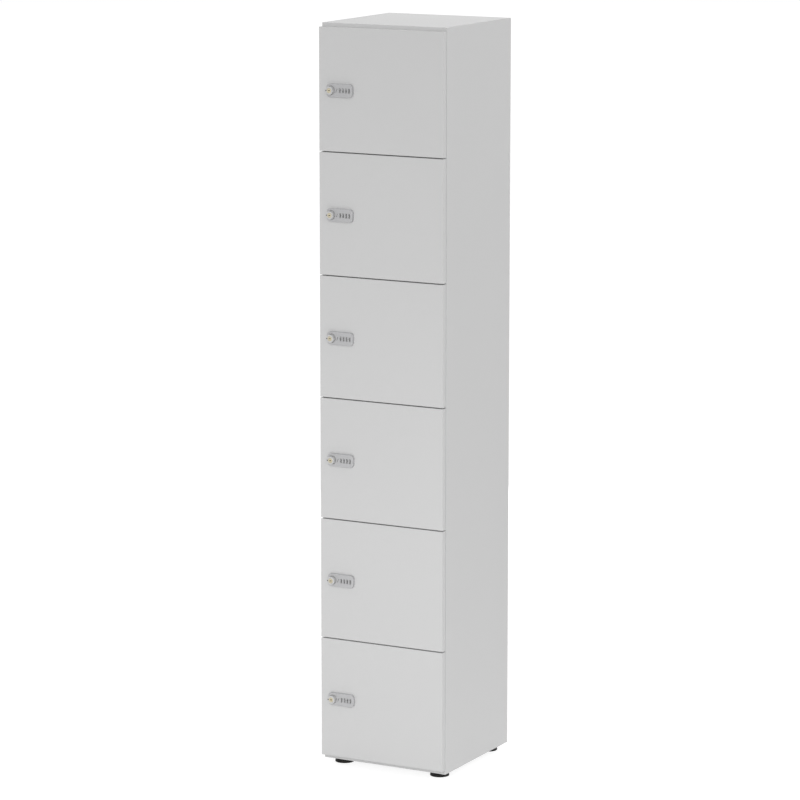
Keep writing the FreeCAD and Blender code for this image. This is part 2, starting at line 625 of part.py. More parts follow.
def lock_piece(label, y="layout.door_front"):
    """Starts a piece of the top door's lock, with its origin on the knob's axis."""
    return new_body(label, "layout.lock_x", y, "layout.top_door_bottom + layout.lock_z")


def front_case():
    """The cast case on the door, with the knob's seat and bore, the wheels' room and their windows."""
    body = lock_piece("lock_case")
    outline = sketch_on(body, "XZ_Plane")
    rectangle(outline, "-sizes.lock_overhang", "-sizes.lock_height / 2",
              "layout.lock_end", "sizes.lock_height / 2")
    block = pad(body, outline, "sizes.lock_thickness")
    corners = rounded(body, block, "sizes.lock_corner",
                      lambda middle, along: near(abs(along.y), 1))
    front = -value("sizes.lock_thickness")
    rounded(body, corners, "sizes.lock_rim", lambda middle, along: near(middle.y, front))
    seat = sketch_on(body, "XZ_Plane", "sizes.lock_thickness")
    circle(seat, "0", "0", "sizes.seat_diameter")
    pocket(body, seat, "sizes.seat_depth")
    bore = sketch_on(body, "XZ_Plane")
    circle(bore, "0", "0", "sizes.barrel_diameter + 2 * sizes.barrel_clearance")
    pocket(body, bore, reverse=True)
    room = sketch_on(body, "XZ_Plane")
    rectangle(room, "layout.cavity_start", "-layout.cavity_half",
              "layout.cavity_end", "layout.cavity_half")
    pocket(body, room, "sizes.lock_thickness - sizes.lock_wall", reverse=True)
    windows = sketch_on(body, "XZ_Plane")
    half = "(sizes.wheel_width / 2 + sizes.wheel_clearance)"
    for number in range(WHEELS):
        middle = f"sizes.wheel_offset + {number} * sizes.wheel_pitch"
        rectangle(windows, f"{middle} - {half}", "-layout.window_half",
                  f"{middle} + {half}", "layout.window_half")
    pocket(body, windows, reverse=True)
    return body


def wheel_axle():
    """The rod that the code wheels turn on, from wall to wall of their room."""
    body = lock_piece("wheel_axle")
    section = sketch_on(body, "YZ_Plane", "layout.cavity_start")
    circle(section, "-layout.wheel_axis", "0", "sizes.axle_diameter")
    pad(body, section, "layout.cavity_end - layout.cavity_start")
    return body


def rear_case():
    """The shallow case on the back of the door that the barrel runs through."""
    body = lock_piece("lock_rear_case", "layout.door_back")
    outline = sketch_on(body, "XZ_Plane")
    rectangle(outline, "-sizes.rear_overhang", "-sizes.rear_height / 2",
              "sizes.rear_length - sizes.rear_overhang", "sizes.rear_height / 2")
    block = pad(body, outline, "sizes.rear_thickness", reverse=True)
    corners = rounded(body, block, "sizes.rear_corner",
                      lambda middle, along: near(abs(along.y), 1))
    rear = value("sizes.rear_thickness")
    rounded(body, corners, "sizes.rear_rim", lambda middle, along: near(middle.y, rear))
    bore = sketch_on(body, "XZ_Plane")
    circle(bore, "0", "0", "sizes.barrel_diameter + 2 * sizes.barrel_clearance")
    pocket(body, bore)
    return body


def knob():
    """The knob with its barrel through the door, a square end and the index dot's recess."""
    body = lock_piece("knob")
    plug = "(sizes.plug_diameter / 2 + sizes.plug_clearance)"
    shoulder = "sizes.seat_depth - sizes.lock_thickness - sizes.knob_gap"
    profile = sketch_on(body, "XY_Plane")
    polygon(profile,
            ("0", "layout.latch_face"), ("layout.barrel_radius", "layout.latch_face"),
            ("layout.barrel_radius", shoulder), ("layout.knob_radius", shoulder),
            ("layout.knob_radius", "-layout.knob_face"), (plug, "-layout.knob_face"),
            (plug, "sizes.plug_depth - layout.knob_face"),
            ("0", "sizes.plug_depth - layout.knob_face"))
    grip = turned(body, profile)
    face = -value("layout.knob_face")
    rim = value("layout.knob_radius")
    rounded(body, grip, "sizes.knob_rim",
            lambda middle, along: near(middle.y, face) and near((middle.x ** 2 + middle.z ** 2) ** 0.5, rim))
    square = sketch_on(body, "XZ_Plane", "-layout.latch_face")
    half = "sizes.square_size / 2"
    rectangle(square, f"-{half}", f"-{half}", half, half)
    pad(body, square, "sizes.latch_thickness", reverse=True)
    dot = sketch_on(body, "XZ_Plane", "layout.knob_face")
    circle(dot, f"-(layout.knob_radius + {plug}) / 2", "0", "sizes.dot_diameter")
    pocket(body, dot, "sizes.dot_depth")
    return body


def key_plug():
    """The brass key plug in the knob's face, with its key slot."""
    body = lock_piece("key_plug")
    section = sketch_on(body, "XZ_Plane", "layout.knob_face")
    circle(section, "0", "0", "sizes.plug_diameter")
    pad(body, section, "sizes.plug_depth", reverse=True)
    slot = sketch_on(body, "XZ_Plane", "layout.knob_face")
    rectangle(slot, "-sizes.keyway_length / 2", "-sizes.keyway_width / 2",
              "sizes.keyway_length / 2", "sizes.keyway_width / 2")
    pocket(body, slot, "sizes.keyway_depth")
    return body


def latch_cam():
    """The lever on the barrel's square end, hanging down while the lock is open."""
    body = lock_piece("latch_cam")
    outline = sketch_on(body, "XZ_Plane", "-layout.latch_face")
    rectangle(outline, "-sizes.latch_width / 2", "-layout.latch_length",
              "sizes.latch_width / 2", "sizes.latch_width / 2")
    lever = pad(body, outline, "sizes.latch_thickness", reverse=True)
    rounded(body, lever, "sizes.latch_corner", lambda middle, along: near(abs(along.y), 1))
    square = sketch_on(body, "XZ_Plane", "-layout.latch_face")
    half = "sizes.square_size / 2"
    rectangle(square, f"-{half}", f"-{half}", half, half)
    pocket(body, square)
    return body


def latch_screw():
    """The head of the screw that holds the latch cam on the barrel."""
    body = lock_piece("latch_screw")
    section = sketch_on(body, "XZ_Plane", "-layout.latch_back")
    circle(section, "0", "0", "sizes.screw_head_diameter")
    pad(body, section, "sizes.screw_head_height", reverse=True)
    return body


def code_wheel():
    """The first code wheel of the top lock, with finger notches half way between its places."""
    body = new_body("code_wheel_1_1", "layout.lock_x + sizes.wheel_offset",
                    "layout.door_front - layout.wheel_axis", "layout.top_door_bottom + layout.lock_z")
    section = sketch_on(body, "YZ_Plane")
    circle(section, "0", "0", "sizes.wheel_diameter")
    circle(section, "0", "0", "sizes.axle_diameter + 2 * sizes.axle_clearance")
    pad(body, section, "sizes.wheel_width", symmetric=True)
    notch = sketch_on(body, "YZ_Plane", "sizes.wheel_width / 2")
    polygon(notch,
            ("-sizes.notch_width / 2", "layout.wheel_radius"),
            ("0", "layout.wheel_radius - sizes.notch_depth"),
            ("sizes.notch_width / 2", "layout.wheel_radius"))
    first = pocket(body, notch)
    doc.recompute()
    pattern = body.newObject("PartDesign::PolarPattern", "code_wheel_notches")
    pattern.Originals = [first]
    axes = [axis for axis in body.Origin.OriginFeatures if axis.Role == "X_Axis"]
    pattern.Axis = (axes[0], [""])
    pattern.Angle = 360
    pattern.Occurrences = WHEEL_NOTCHES
    body.Tip = pattern
    cuts.append(pattern)
    return body


def doors(top_cups):
    """Every door with its hinge cups, lock, knob and code wheels, copied down from the top one."""
    top_pieces = {
        "door_panel": door_panel(),
        "hinge_cups": top_cups,
        "lock_body": group("lock_body_1", [front_case(), wheel_axle(), rear_case()]),
        "lock_knob": group("lock_knob_1", [knob(), key_plug(), latch_cam(), latch_screw()]),
    }
    wheel = code_wheel()
    for door in range(1, COMPARTMENTS + 1):
        drop = f"-{door - 1} * layout.door_pitch"
        for name, piece in top_pieces.items():
            label = f"{name}_{door}"
            nodes[label] = piece if door == 1 else copy_of(piece, label, z=drop)
        for number in range(1, WHEELS + 1):
            label = f"code_wheel_{door}_{number}"
            along = f"{number - 1} * sizes.wheel_pitch"
            first = door == 1 and number == 1
            nodes[label] = wheel if first else copy_of(wheel, label, x=along, z=drop)


# Feet
def levelling_foot(label):
    """A low foot with its spindle; the origin is on the floor, on its axis."""
    body = new_body(label, "-layout.foot_x", "layout.carcass_front + sizes.foot_depth_inset", "0")
    radius = "sizes.foot_diameter / 2"
    spindle = "sizes.spindle_diameter / 2"
    profile = sketch_on(body, "XZ_Plane")
    polygon(profile,
            ("0", "0"), (radius, "0"), (radius, "sizes.foot_lip"),
            (f"{radius} - sizes.foot_taper", "layout.foot_top"), (spindle, "layout.foot_top"),
            (spindle, "layout.spindle_top"), ("0", "layout.spindle_top"))
    block = turned(body, profile)
    top = value("layout.foot_top")
    rim = value(f"{radius} - sizes.foot_taper")
    rounded(body, block, "sizes.foot_edge",
            lambda middle, along: near(middle.z, top) and near(middle.Length ** 2, rim ** 2 + top ** 2))
    socket = sketch_on(body, "XY_Plane", "layout.spindle_top")
    reach = "sizes.hex_size / sqrt(3)"
    half = "sizes.hex_size / 2"
    polygon(socket,
            (reach, "0"), (f"{reach} / 2", half), (f"-{reach} / 2", half),
            (f"-{reach}", "0"), (f"-{reach} / 2", f"-{half}"), (f"{reach} / 2", f"-{half}"))
    pocket(body, socket, "sizes.hex_depth")
    return body


def foot_sleeve():
    """The flanged sleeve in the bottom panel over the front left foot."""
    body = new_body("foot_sleeve", "-layout.foot_x",
                    "layout.carcass_front + sizes.foot_depth_inset", "0")
    bore = "(sizes.spindle_diameter / 2 + sizes.spindle_clearance)"
    profile = sketch_on(body, "XZ_Plane")
    polygon(profile,
            (bore, "sizes.foot_height - sizes.sleeve_flange_thickness"),
            ("sizes.sleeve_flange / 2", "sizes.foot_height - sizes.sleeve_flange_thickness"),
            ("sizes.sleeve_flange / 2", "sizes.foot_height"),
            ("sizes.sleeve_diameter / 2", "sizes.foot_height"),
            ("sizes.sleeve_diameter / 2", "layout.spindle_top"), (bore, "layout.spindle_top"))
    turned(body, profile)
    return body


def feet():
    """The four feet, and the sleeves that they screw into."""
    foot = levelling_foot("levelling_foot_front_left")
    sleeve = foot_sleeve()
    across = "2 * layout.foot_x"
    back = "sizes.carcass_depth - 2 * sizes.foot_depth_inset"
    corners = (("front_left", "0", "0"), ("front_right", across, "0"),
               ("rear_left", "0", back), ("rear_right", across, back))
    sleeves = []
    for corner, x, y in corners:
        label = f"levelling_foot_{corner}"
        nodes[label] = foot if corner == "front_left" else copy_of(foot, label, x, y)
        sleeves.append(copy_of(sleeve, f"foot_sleeve_{corner}", x, y))
    return sleeves


side_panel("side_panel_left", left=True)
side_panel("side_panel_right", left=False)
nodes["top_panel"] = cross_board("top_panel", "layout.carcass_top - sizes.board",
                                 groove=("0", "sizes.groove_depth"))
nodes["bottom_panel"] = cross_board("bottom_panel", "sizes.foot_height", feet=True,
                                    groove=("sizes.board - sizes.groove_depth", "sizes.board"))
back_panel()
shelves()
doors(hinges())
nodes["carcass_fittings"] = group("carcass_fittings", connectors() + feet())
doc.recompute()

for item in doc.Objects:
    if "Invalid" in item.State or "Error" in item.State:
        raise RuntimeError(f"{item.Label} failed: {item.State}")
for feature in cuts:
    if feature.Shape.Volume >= feature.BaseFeature.Shape.Volume:
        raise RuntimeError(f"{feature.Label} cuts nothing")
for label, item in nodes.items():
    if item.Shape.isNull() or not item.Shape.isValid():
        raise RuntimeError(f"{label} has no valid shape")

os.makedirs("parts", exist_ok=True)
for label, item in nodes.items():
    item.Shape.exportStep(f"parts/{label}.step")
print(len(nodes), "nodes written")
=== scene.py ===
# %% [markdown]
# # A six-door office locker
# A tall office locker stands on four low black feet. Six doors in light grey melamine-faced board
# lie one above the other, and each has a small code lock near its left edge. The boards, hinges,
# fittings and feet come from the frame and only get a finish here. The locks and the screws are
# modelled in this lesson, because their small round forms are what the eye goes to.

# %% Load the frame
import json
import math
from contextlib import contextmanager

import bmesh
import bpy
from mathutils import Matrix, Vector


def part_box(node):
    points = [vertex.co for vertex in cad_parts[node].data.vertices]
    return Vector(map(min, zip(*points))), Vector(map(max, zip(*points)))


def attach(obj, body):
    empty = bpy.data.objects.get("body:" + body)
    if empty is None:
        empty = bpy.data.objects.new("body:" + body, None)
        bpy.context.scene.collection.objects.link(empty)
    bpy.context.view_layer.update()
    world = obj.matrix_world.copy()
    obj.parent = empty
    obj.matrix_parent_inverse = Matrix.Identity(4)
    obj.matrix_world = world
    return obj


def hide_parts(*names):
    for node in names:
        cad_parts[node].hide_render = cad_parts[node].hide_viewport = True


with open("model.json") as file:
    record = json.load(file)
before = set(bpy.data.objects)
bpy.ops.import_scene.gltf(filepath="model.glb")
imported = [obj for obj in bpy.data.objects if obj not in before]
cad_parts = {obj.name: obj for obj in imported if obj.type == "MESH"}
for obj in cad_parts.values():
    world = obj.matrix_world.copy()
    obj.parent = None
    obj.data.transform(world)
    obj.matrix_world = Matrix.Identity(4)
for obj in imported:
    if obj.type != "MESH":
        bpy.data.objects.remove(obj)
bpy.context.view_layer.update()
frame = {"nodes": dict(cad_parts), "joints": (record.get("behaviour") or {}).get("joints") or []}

# %% [markdown]
# ## Where things are
# Places come from the frame: the joints give the axes of the knob and of the code wheels, and the
# boxes of the nodes give faces and edges. The pieces then follow the model when a size changes. Only
# what a box can't tell, such as the radius of a corner, is a number here.

# %% Read the places
MM = 0.001
X, Y, Z = 0, 1, 2
DOORS = range(1, 7)
WHEELS = range(1, 5)

axes = {joint["name"]: Vector(joint["pos_m"]) for joint in frame["joints"] if joint["type"] == "hinge"}
knob_axis = axes["knob_1_turn"]
wheel_axis = axes["wheel_1_1_turn"]
wheel_pitch = axes["wheel_1_2_turn"].x - wheel_axis.x
door_pitch = knob_axis.z - axes["knob_2_turn"].z
door_low, door_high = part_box("door_panel_1")
lock_low, lock_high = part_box("lock_body_1")
knob_low, knob_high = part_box("lock_knob_1")
wheel_low, wheel_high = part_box("code_wheel_1_1")
side_low, side_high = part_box("side_panel_right")
print("doors every", round(door_pitch / MM, 1), "mm, code wheels every", round(wheel_pitch / MM, 1), "mm")

# %% [markdown]
# ## Camera
# The picture was taken with a long lens from the front right, from higher than the locker's top.
# A long lens far away keeps the uprights nearly parallel. The camera is set on an arc round the middle
# of the carcass by its azimuth and elevation, then moved a little in its own plane so that the locker
# sits where it does in the picture.

# %% Set up the camera
AZIMUTH = 28.18
ELEVATION = 10.39
DISTANCE = 10.80
FOCAL_LENGTH = 166.7
FRAME_RIGHT = -0.0495
FRAME_UP = -0.0257
UP = Vector((0, 0, 1))


def heading(azimuth, elevation):
    """The way of a look or a light that comes from an azimuth and an elevation, in degrees."""
    turn = math.radians(azimuth)
    rise = math.radians(elevation)
    return Vector((-math.sin(turn) * math.cos(rise), math.cos(turn) * math.cos(rise), -math.sin(rise)))


forward = heading(AZIMUTH, ELEVATION)
rightward = forward.cross(UP).normalized()
upward = rightward.cross(forward)
carcass_middle = (side_low + side_high) / 2
carcass_middle.x = 0
target = carcass_middle + rightward * FRAME_RIGHT + upward * FRAME_UP

camera_data = bpy.data.cameras.new("camera")
camera_data.lens = FOCAL_LENGTH
camera = bpy.data.objects.new("camera", camera_data)
camera.location = target - forward * DISTANCE
camera.rotation_euler = forward.to_track_quat("-Z", "Y").to_euler()
bpy.context.scene.collection.objects.link(camera)
bpy.context.scene.camera = camera
bpy.context.scene.view_settings.view_transform = "Standard"
print("camera at", [round(part, 2) for part in camera.location])

# %% [markdown]
# ## Shader sums
# A finish is mostly arithmetic on places: how far a point is from an edge, how strong the grain is.
# Linking Math nodes by hand hides that sum. This small class wraps one output of a node, and plus,
# minus or less-than on it adds the Math node, so a finish reads like the sum it is. Any other node
# comes from its one method, which takes the settings first and the sockets after.

# %% A class for shader sums
# A colour Mix node shares the names of its sockets with other kinds of data, so they go by number.
MIX_FACTOR, MIX_FIRST, MIX_SECOND, MIX_RESULT = 0, 6, 7, 2


def grey(level):
    """An even grey as a colour."""
    return (level, level, level, 1.0)


class Shade:
    """One output of a shader node. Arithmetic on it adds Math nodes to the same tree."""

    def __init__(self, tree, socket=None):
        self.tree = tree
        self.socket = socket

    def node(self, kind, settings=None, sockets=None, output=0):
        """Adds any node: its settings first, then the values or links of its sockets."""
        made = self.tree.nodes.new("ShaderNode" + kind)
        for name, value in (settings or {}).items():
            setattr(made, name, value)
        for name, value in (sockets or {}).items():
            if isinstance(value, Shade):
                self.tree.links.new(value.socket, made.inputs[name])
            else:
                made.inputs[name].default_value = value
        return Shade(self.tree, made.outputs[output])

    def other(self, name):
        """Another output of the same node."""
        return Shade(self.tree, self.socket.node.outputs[name])

    def sum(self, operation, first, second=0.0):
        return self.node("Math", {"operation": operation}, {0: first, 1: second})

    def __add__(self, value):
        return self.sum("ADD", self, value)

    def __radd__(self, value):
        return self.sum("ADD", value, self)

    def __sub__(self, value):
        return self.sum("SUBTRACT", self, value)

    def __rsub__(self, value):
        return self.sum("SUBTRACT", value, self)

    def __mul__(self, value):
        return self.sum("MULTIPLY", self, value)

    def __rmul__(self, value):
        return self.sum("MULTIPLY", value, self)

    def __mod__(self, value):
        return self.sum("FLOORED_MODULO", self, value)

    def __pow__(self, value):
        return self.sum("POWER", self, value)

    def __abs__(self):
        return self.sum("ABSOLUTE", self)

    def __lt__(self, value):
        return self.sum("LESS_THAN", self, value)

    def __gt__(self, value):
        return self.sum("GREATER_THAN", self, value)

    def least(self, value):
        return self.sum("MINIMUM", self, value)

    def fade(self, start, end):
        """Goes smoothly from 0 at start to 1 at end."""
        spread = {"Value": self, "From Min": start, "From Max": end}
        return self.node("MapRange", {"interpolation_type": "SMOOTHSTEP"}, spread)

    def mix(self, first, second):
        """A colour that goes from the first to the second as this mask goes from 0 to 1."""
        sockets = {MIX_FACTOR: self, MIX_FIRST: first, MIX_SECOND: second}
        return self.node("Mix", {"data_type": "RGBA"}, sockets, MIX_RESULT)

    def tone(self):
        """This value as a grey colour."""
        return self.mix(grey(0.0), grey(1.0))

    def bump(self, depth, strength):
        """A normal for this value as a height, of a depth in metres."""
        return self.node("Bump", {}, {"Height": self, "Distance": depth, "Strength": strength})

    def parts(self):
        """The X, Y and Z of this place."""
        split = self.node("SeparateXYZ", {}, {"Vector": self})
        return [split.other(name) for name in "XYZ"]

    def scaled(self, *factors):
        """This place with its X, Y and Z multiplied, which stretches a pattern where a factor is small."""
        return self.node("Mapping", {}, {"Vector": self, "Scale": factors})

    def noise(self, grain, detail):
        """Noise at this place whose spots are about one grain across, in metres."""
        return self.node("TexNoise", {}, {"Vector": self, "Scale": 1 / grain, "Detail": detail})


print("shader sums are ready")

# %% Starting a finish
INPUTS = {"colour": "Base Color", "roughness": "Roughness", "normal": "Normal"}


def place_in(tree):
    """The place of a point on its object, where a shader sum starts."""
    return Shade(tree).node("TexCoord", output="Object")


def new_finish(name, metallic=0.0, specular=0.5):
    """A material, its Principled shader with the even values set, and the place of a point."""
    material = bpy.data.materials.new(name)
    material.use_nodes = True
    shader = material.node_tree.nodes["Principled BSDF"]
    shader.inputs["Metallic"].default_value = metallic
    shader.inputs["Specular IOR Level"].default_value = specular
    return material, shader, place_in(material.node_tree)


def feed(shader, **sums):
    """Links what changes over the surface to the shader."""
    for name, value in sums.items():
        value.tree.links.new(value.socket, shader.inputs[INPUTS[name]])


def off_axis(across, along):
    """The distance from an axis, out of two offsets at right angles."""
    return (across ** 2 + along ** 2) ** 0.5


print("a finish changes", ", ".join(INPUTS))

# %% [markdown]
# ## Light and floor
# The locker was shot in an evenly lit white studio: no hard shadow, the top face a little lighter
# than the rest, and the lower doors lighter than the upper ones, because the floor in front throws
# light back. Half of the light is a pale surround. A wide, soft sun almost from the front gives the
# doors the other half, and so it leaves no dark halo beside the locks. A second one lights the side
# panel from a little behind the doors. Three weak lamps lighten the lower doors, the top and the back.
# To the camera and in reflections the surround is plain white, at a strength of 1, and the floor glows
# and still takes a shadow.

# %% The surround
SURROUND = 0.5
WHITE = grey(1.0)

world = bpy.data.worlds.new("studio")
world.use_nodes = True
bpy.context.scene.world = world
seen = Shade(world.node_tree).node("LightPath", output="Is Camera Ray")
seen = seen + seen.other("Is Glossy Ray") + seen.other("Is Transmission Ray")
strength = SURROUND + (1 - SURROUND) * (seen > 0)
background = world.node_tree.nodes["Background"]
background.inputs["Color"].default_value = WHITE
world.node_tree.links.new(strength.socket, background.inputs["Strength"])
print("surround lights with", SURROUND)

# %% The floor
FLOOR_RADIUS = 30.0
FLOOR_SIDES = 96
FLOOR_GLOW = 0.86
FLOOR_SHADOWED = 0.30
FLOOR_PALE = 0.85
FLOOR_FAR = 0.55
PALE_MIDDLE = Vector((-0.5, -1.5, 0.0))
PALE_REACH = 1.0
FAR_REACH = 3.5

bpy.ops.object.select_all(action="DESELECT")
bpy.ops.mesh.primitive_circle_add(vertices=FLOOR_SIDES, radius=FLOOR_RADIUS, fill_type="NGON")
floor = bpy.context.object
floor.name = "studio_floor"
floor_finish = bpy.data.materials.new("studio_floor")
floor_finish.use_nodes = True
floor_nodes = floor_finish.node_tree.nodes
floor_nodes.remove(floor_nodes["Principled BSDF"])
place = place_in(floor_finish.node_tree)
x, y = place.parts()[:Z]
reach = off_axis(x - PALE_MIDDLE.x, y - PALE_MIDDLE.y)
tone = reach.fade(PALE_REACH, FAR_REACH).mix(grey(FLOOR_PALE), grey(FLOOR_FAR))
paper = place.node("BsdfDiffuse", {}, {"Color": tone})
glow = place.node("Emission", {}, {"Color": WHITE, "Strength": FLOOR_GLOW})
shadowed = place.node("BsdfDiffuse", {}, {"Color": grey(FLOOR_SHADOWED)})
glowing = place.node("AddShader", {}, {0: glow, 1: shadowed})
seen = place.node("LightPath", output="Is Camera Ray")
seen = (seen + seen.other("Is Glossy Ray")) > 0
either = place.node("MixShader", {}, {0: seen, 1: paper, 2: glowing})
either.tree.links.new(either.socket, floor_nodes["Material Output"].inputs["Surface"])
floor.data.materials.append(floor_finish)
print("floor radius", FLOOR_RADIUS)

# %% The lamps
SUN_WIDTH = math.radians(40)
SUN_DISTANCE = 6.0


def lamp(name, kind, spot, aim, power):
    """A lamp that shines from a spot towards a point. The camera doesn't see it."""
    made = bpy.data.objects.new(name, bpy.data.lights.new(name, kind))
    made.data.energy = power
    made.location = spot
    made.rotation_euler = (Vector(aim) - Vector(spot)).to_track_quat("-Z", "Y").to_euler()
    made.visible_camera = False
    bpy.context.scene.collection.objects.link(made)
    print("lamp", name, power)
    return made


def sun(name, azimuth, elevation, power):
    """A wide sun, kept out of reflections because it flares on the top face seen from behind."""
    spot = carcass_middle - heading(azimuth, elevation) * SUN_DISTANCE
    made = lamp(name, "SUN", spot, carcass_middle, power)
    made.data.angle = SUN_WIDTH
    made.visible_glossy = False


def softbox(name, spot, aim, width, power):
    """A square lamp of some width."""
    lamp(name, "AREA", spot, aim, power).data.size = width


sun("key", azimuth=20, elevation=14, power=1.33)
softbox("low_front", spot=(0.4, -1.7, 0.5), aim=(0.1, -0.2, 0.5), width=1.2, power=4.3)
softbox("above", spot=(0.0, 0.9, 4.4), aim=(0.0, 0.1, 2.2), width=1.6, power=20.5)
sun("beside", azimuth=110, elevation=9.75, power=0.97)
softbox("behind", spot=(-2.2, 3.2, 1.0), aim=(-0.1, 0.2, 1.0), width=1.8, power=45.0)

# %% [markdown]
# ## Melamine-faced board
# The boards are chipboard with a printed paper and melamine resin pressed on, light grey with a fine
# pearl that kills reflections. Their edges are closed by a glued plastic band a millimetre thick,
# and where it meets the face a hairline joint stays visible. The pearl and a faint cloud in the tone
# are noise; the band and its joint come from the distance to the board's edge, so they sit where the
# real band does on every board. Round the lock, hands leave a trace of a smudge on the doors.

# %% The melamine finish
BOARD_TONE = 0.600
BOARD_SHINE = 0.42
EDGE_BAND = 1.0 * MM
BAND_JOINT = 0.09 * MM
PEARL_GRAIN = 0.55 * MM
PEARL_DEPTH = 0.05 * MM
CLOUD_SIZE = 0.35
SMUDGE_GRAIN = 14 * MM
TOUCHED_FAR = 90 * MM
TOUCHED_NEAR = 15 * MM


def level_from(z, middle):
    """The height of a point above a level of the top door, or above the same level of its own door."""
    return (z - (middle - door_pitch / 2)) % door_pitch - door_pitch / 2


def melamine(name, edge_distance, touched=False):
    """Pearled grey board; edge_distance says how far a point is from the board's banded edge."""
    material, shader, place = new_finish(name, specular=BOARD_SHINE)
    x, y, z = place.parts()
    pearl = place.noise(PEARL_GRAIN, detail=3.0)
    cloud = place.noise(CLOUD_SIZE, detail=3.0)
    edge = edge_distance(x, y, z)
    joint = abs(edge - EDGE_BAND) < BAND_JOINT
    band = edge < EDGE_BAND
    rough = 0.38 + 0.14 * pearl + 0.06 * cloud - 0.05 * band
    light = 0.985 + 0.03 * cloud + 0.05 * (pearl - 0.5) - 0.10 * joint - 0.02 * band
    if touched:
        from_knob = off_axis(x - knob_axis.x, level_from(z, knob_axis.z))
        spots = place.noise(SMUDGE_GRAIN, detail=4.0).fade(0.45, 0.75)
        smudge = spots * from_knob.fade(TOUCHED_FAR, TOUCHED_NEAR)
        rough = rough + 0.07 * smudge
        light = light - 0.012 * smudge
    colour = (light * BOARD_TONE).tone()
    feed(shader, colour=colour, roughness=rough, normal=pearl.bump(PEARL_DEPTH, strength=0.8))
    return material


def paint(finish, *nodes):
    """Gives nodes of the frame a finish through their material slots."""
    for name in nodes:
        for slot in frame["nodes"][name].material_slots:
            slot.material = finish
        print(name, "is", finish.name)


print("edge band", EDGE_BAND / MM, "mm thick, pearl", round(PEARL_GRAIN / MM, 2), "mm across")

# %% Doors, sides and shelves
door_half = door_high.x
door_middle = (door_low.z + door_high.z) / 2
door_half_height = (door_high.z - door_low.z) / 2
shelf_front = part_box("shelves")[0].y


def from_door_edge(x, y, z):
    return (door_half - abs(x)).least(door_half_height - abs(level_from(z, door_middle)))


def from_side_edge(x, y, z):
    return (y - side_low.y).least(side_high.y - y)


def from_shelf_edge(x, y, z):
    return y - shelf_front


door_finish = melamine("grey_melamine_doors", from_door_edge, touched=True)
side_finish = melamine("grey_melamine_carcass", from_side_edge)
shelf_finish = melamine("grey_melamine_shelves", from_shelf_edge)
paint(door_finish, *(f"door_panel_{door}" for door in DOORS))
paint(side_finish, "side_panel_left", "side_panel_right", "top_panel", "bottom_panel")
paint(shelf_finish, "shelves")

# %% [markdown]
# ## Back board
# The back is a thin fibreboard lacquered in the same grey. Lacquer on fibreboard is flatter than
# melamine and shows a soft fleck of fibres under it. Two noises at right angles, each stretched
# along one way, give the fleck without a direction of its own.

# %% The lacquered back
BACK_TONE = 0.52
BACK_SHINE = 0.35
FIBRE_LENGTH = 6 * MM
FIBRE_WIDTH = 0.7 * MM
FLECK_DEPTH = 0.05 * MM


def lacquered_fibreboard():
    material, shader, place = new_finish("lacquered_fibreboard", specular=BACK_SHINE)
    slim = FIBRE_WIDTH / FIBRE_LENGTH
    lying = place.scaled(slim, 1, 1).noise(FIBRE_WIDTH, detail=3.0)
    standing = place.scaled(1, 1, slim).noise(FIBRE_WIDTH, detail=3.0)
    fleck = 0.5 * lying + 0.5 * standing
    light = 0.94 + 0.12 * fleck
    rough = 0.50 + 0.20 * fleck
    colour = (light * BACK_TONE).tone()
    feed(shader, colour=colour, roughness=rough, normal=fleck.bump(FLECK_DEPTH, strength=0.4))
    return material


paint(lacquered_fibreboard(), "back_panel")

# %% [markdown]
# ## Plated steel, cast zinc and black plastic
# Hinges are pressed from sheet and nickel plated: bright, with fine rubbing marks. The connector
# housings in the boards are raw zinc castings, duller and cloudy. The feet are moulded in black
# plastic with an eroded grain, and the rim next to the floor holds some dust. Each is one short
# function, and the same steel also serves the screws, the latch cams and the axles.

# %% Hinges
STEEL_DULL = (0.50, 0.49, 0.47, 1.0)
STEEL_BRIGHT = (0.66, 0.65, 0.63, 1.0)
RUB_GRAIN = 0.25 * MM
RUB_STRETCH = 0.08
RUB_DEPTH = 0.01 * MM
STAIN_SIZE = 9 * MM


def plated_steel():
    material, shader, place = new_finish("plated_steel", metallic=1.0)
    marks = place.scaled(1, RUB_STRETCH, 1).noise(RUB_GRAIN, detail=3.0)
    stain = place.noise(STAIN_SIZE, detail=3.0)
    colour = stain.fade(0.3, 0.7).mix(STEEL_DULL, STEEL_BRIGHT)
    rough = 0.20 + 0.16 * marks + 0.10 * stain
    feed(shader, colour=colour, roughness=rough, normal=marks.bump(RUB_DEPTH, strength=0.4))
    return material


steel = plated_steel()
paint(steel, "hinge_arms", *(f"hinge_cups_{door}" for door in DOORS))

# %% Connectors
ZINC_DARK = (0.40, 0.40, 0.41, 1.0)
ZINC_LIGHT = (0.58, 0.58, 0.58, 1.0)
ZINC_CLOUD = 3 * MM
SKIN_GRAIN = 0.4 * MM
SKIN_DEPTH = 0.03 * MM


def cast_zinc():
    material, shader, place = new_finish("cast_zinc", metallic=1.0)
    cloud = place.noise(ZINC_CLOUD, detail=4.0)
    skin = place.noise(SKIN_GRAIN, detail=3.0)
    colour = cloud.fade(0.3, 0.7).mix(ZINC_DARK, ZINC_LIGHT)
    rough = 0.36 + 0.25 * cloud
    feed(shader, colour=colour, roughness=rough, normal=skin.bump(SKIN_DEPTH, strength=0.6))
    return material


paint(cast_zinc(), "carcass_fittings")

# %% Feet
FOOT_BLACK = grey(0.008)
FOOT_DUST = (0.085, 0.080, 0.072, 1.0)
FOOT_SHINE = 0.15
FOOT_GRAIN = 0.6 * MM
FOOT_GRAIN_DEPTH = 0.06 * MM
DUST_GRAIN = 4 * MM
DUST_TOP = 12 * MM
DUST_FULL = 1 * MM


